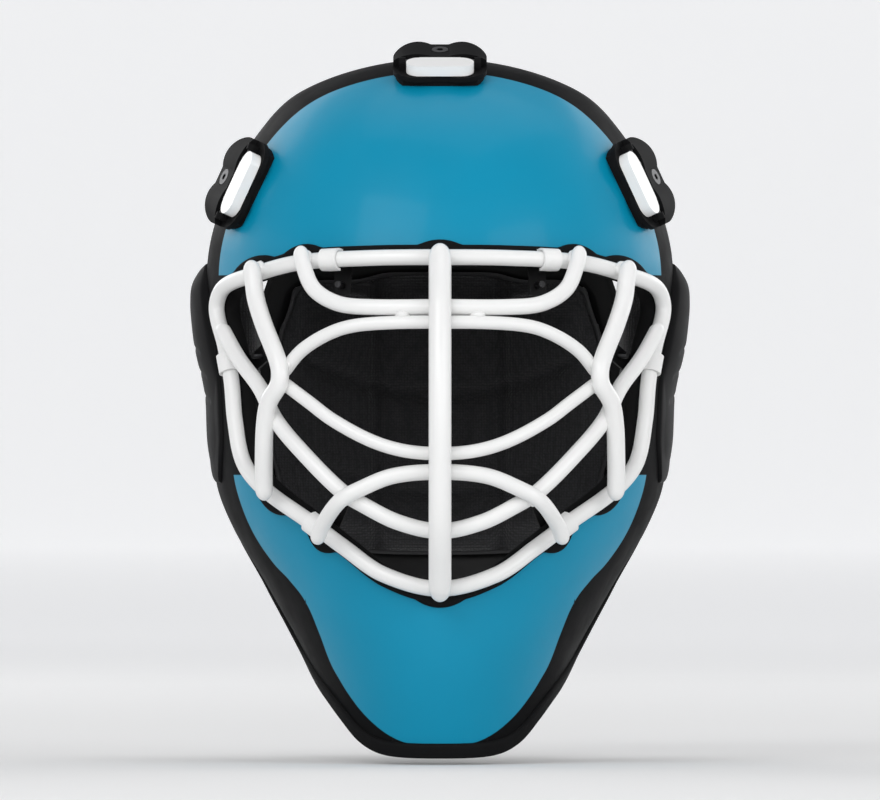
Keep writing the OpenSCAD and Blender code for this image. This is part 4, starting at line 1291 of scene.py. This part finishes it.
def stitches(name, route):
    """Box of stitches with a cross, on the top of a strap"""
    p, a, b, along = route
    half, length = STRAP_W / 2 - STITCH_INSET, STITCH_LENGTH
    corners = [(-half, 0), (half, 0), (half, length), (-half, length), (-half, 0), (half, length)]
    lines = list(zip(corners, corners[1:])) + [((half, 0), (-half, length))]
    made = []
    for (x0, s0), (x1, s1) in lines:
        count = int(math.hypot(x1 - x0, s1 - s0) / STITCH_PITCH)
        for k in range(count):
            ends = []
            for t in ((k + 0.15) / count, (k + 0.85) / count):
                x, s = x0 + (x1 - x0) * t, STITCH_START + s0 + (s1 - s0) * t
                up = on_line(s, along, b)
                ends.append(on_line(s, along, p) + on_line(s, along, a) * x + up * (STRAP_T + 0.05))
            line = np.linspace(ends[0], ends[1], 4) + up * np.array([0, 0.16, 0.16, 0])[:, None]
            made.append(loft("stitch", wire_rings(line, 0.32, 6, ball=False), THREAD, body=None))
    enlist(join(name, made), body="mask")


def lying(q, off=STRAP_LIFT):
    """Strap station on the shell"""
    q = np.asarray(q, float)
    return np.concatenate([shell_at(q, off), shell_normal(q)])


def on_plate(keeper, along):
    """Strap station on the back plate, before or past its keeper"""
    x, z, way_x, way_z = (float(v) for v in keeper)
    n = plate_normal(np.array(x), np.array(z))
    way = np.array([way_x, 0, way_z])
    b = unit(way - n * (way @ n))
    p = plate_point(np.array(x), np.array(z)) + b * along + n * (STRAP_GAP + 0.6)
    return np.concatenate([p, n])


def make_straps():
    """Five elastic straps; each leaves the shell and ends under its keeper"""
    crown = [lying((0, f)) for f in (1.6, 0, -2, -4, -6, -7.6)]
    routes = {"strap_top": (crown, KEEPERS[0], (14, 0, -14))}
    for side, label in ((-1, "left"), (1, "right")):
        upper = [(-27, 103), (5, 101), (35, 98), (60, 94), (77, 90)]
        lower = [(13, -31.5), (20, -31), (28, -30.5)]
        first = 1 if side < 0 else 2
        routes[f"strap_upper_{label}"] = (
            [lying(side_map(y, z, side)) for y, z in upper], KEEPERS[first], (30, 13, 0, -12))
        routes[f"strap_lower_{label}"] = (
            [lying(side_map(y, z, side), -LOWER_STRAP_DEPTH) for y, z in lower], KEEPERS[first + 2],
            (33, 13, 0, -12))
    for name, (on_shell, keeper, ends) in routes.items():
        rows = on_shell + [on_plate(keeper, a) for a in ends]
        obj, route = strap(name + "_webbing", rows, 160)
        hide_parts(name)
        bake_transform(obj)
        if "lower" not in name:
            stitches(name + "_stitches", route)


def make_chin_cup():
    """Leather cup with a rolled edge, and its two straps"""
    middle = np.array([0, -72, -122.0])
    u, v, w = cushion(48, 0.35)
    lon, lat = np.radians(57 * u), np.radians(41 * v - 18)
    way = np.stack([np.sin(lon) * np.cos(lat), -np.cos(lon) * np.cos(lat), np.sin(lat)], -1)
    seam = ridge(w, 0.86, 0.03)
    outer = CUP_R - 0.5 * seam
    inner = CUP_R - 5.4 * (1 - 0.45 * w ** 4) + 0.6 * seam
    cup = between("chin_cup_leather", middle + way * outer[..., None], middle + way * inner[..., None],
                  LEATHER, body=None, sharp=80)
    subdivide(cup)
    enlist(cup, "chin_cup", "chin_sling")
    for side, label in ((-1, "left"), (1, "right")):
        m = [side * 0.9, -0.45, 0]
        rows = [np.array([side * 27.4, -92, -119, *m]), np.array([side * 40, -87.5, -110, *m]),
                np.array([side * 51.6, -82, -102, side, 0, 0])]
        obj, _ = strap(f"chin_cup_strap_{label}", rows, 40, width=12, thick=1.4)
        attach(obj, "chin_sling")
    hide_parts("chin_cup_straps")


# ------------------------------------------------------------------ CAD nodes that stay

# Material, and width of the soft edges
KEPT_NODES = {
    "cage_clips": (CLIP_COAT, 0.35), "cage_clip_screws": (STEEL, 0.3),
    "chin_cup_eyelets": (CLIP_PLASTIC, 0.5), "chin_cup_studs": (STEEL, 0.4),
    "strap_clip_gaskets": (RUBBER, 0.3), "strap_clip_bases": (CLIP_PLASTIC, 0.8),
    "strap_clip_screws": (STEEL, 0.25), "strap_clip_pins": (STEEL, 0.2),
    "lever_top": (WHITE_PLASTIC, 1.5), "lever_left": (WHITE_PLASTIC, 1.5),
    "lever_right": (WHITE_PLASTIC, 1.5),
    "strap_keepers": (CLIP_PLASTIC, 0.6), "keeper_rivets": (STEEL, 0.2),
    "lower_strap_studs": (STEEL, 0.3), "throat_guard_bracket": (CLIP_PLASTIC, 0.6),
    "throat_guard_rivets": (STEEL, 0.3),
}


def finish_kept_nodes():
    """Materials and soft edges for the CAD nodes that stay"""
    for name, (material, edge) in KEPT_NODES.items():
        obj = bpy.data.objects[name]
        for slot in obj.material_slots:
            slot.link = "OBJECT"
            slot.material = material
        bevel = obj.modifiers.new("soft edges", "BEVEL")
        bevel.width = edge * MM
        bevel.segments = 3
        bevel.limit_method = "ANGLE"
        bevel.angle_limit = math.radians(35)


make_camera()
make_stage()
make_lamps()
port_edge, rim_edge, port_inside, rim_inside = make_shell()
make_edges(port_edge, rim_edge, port_inside, rim_inside)
make_side_guard(-1, "side_guard_left_cover")
make_side_guard(1, "side_guard_right_cover")
make_cage()
make_liner()
make_backplate()
make_straps()
make_chin_cup()
finish_kept_nodes()
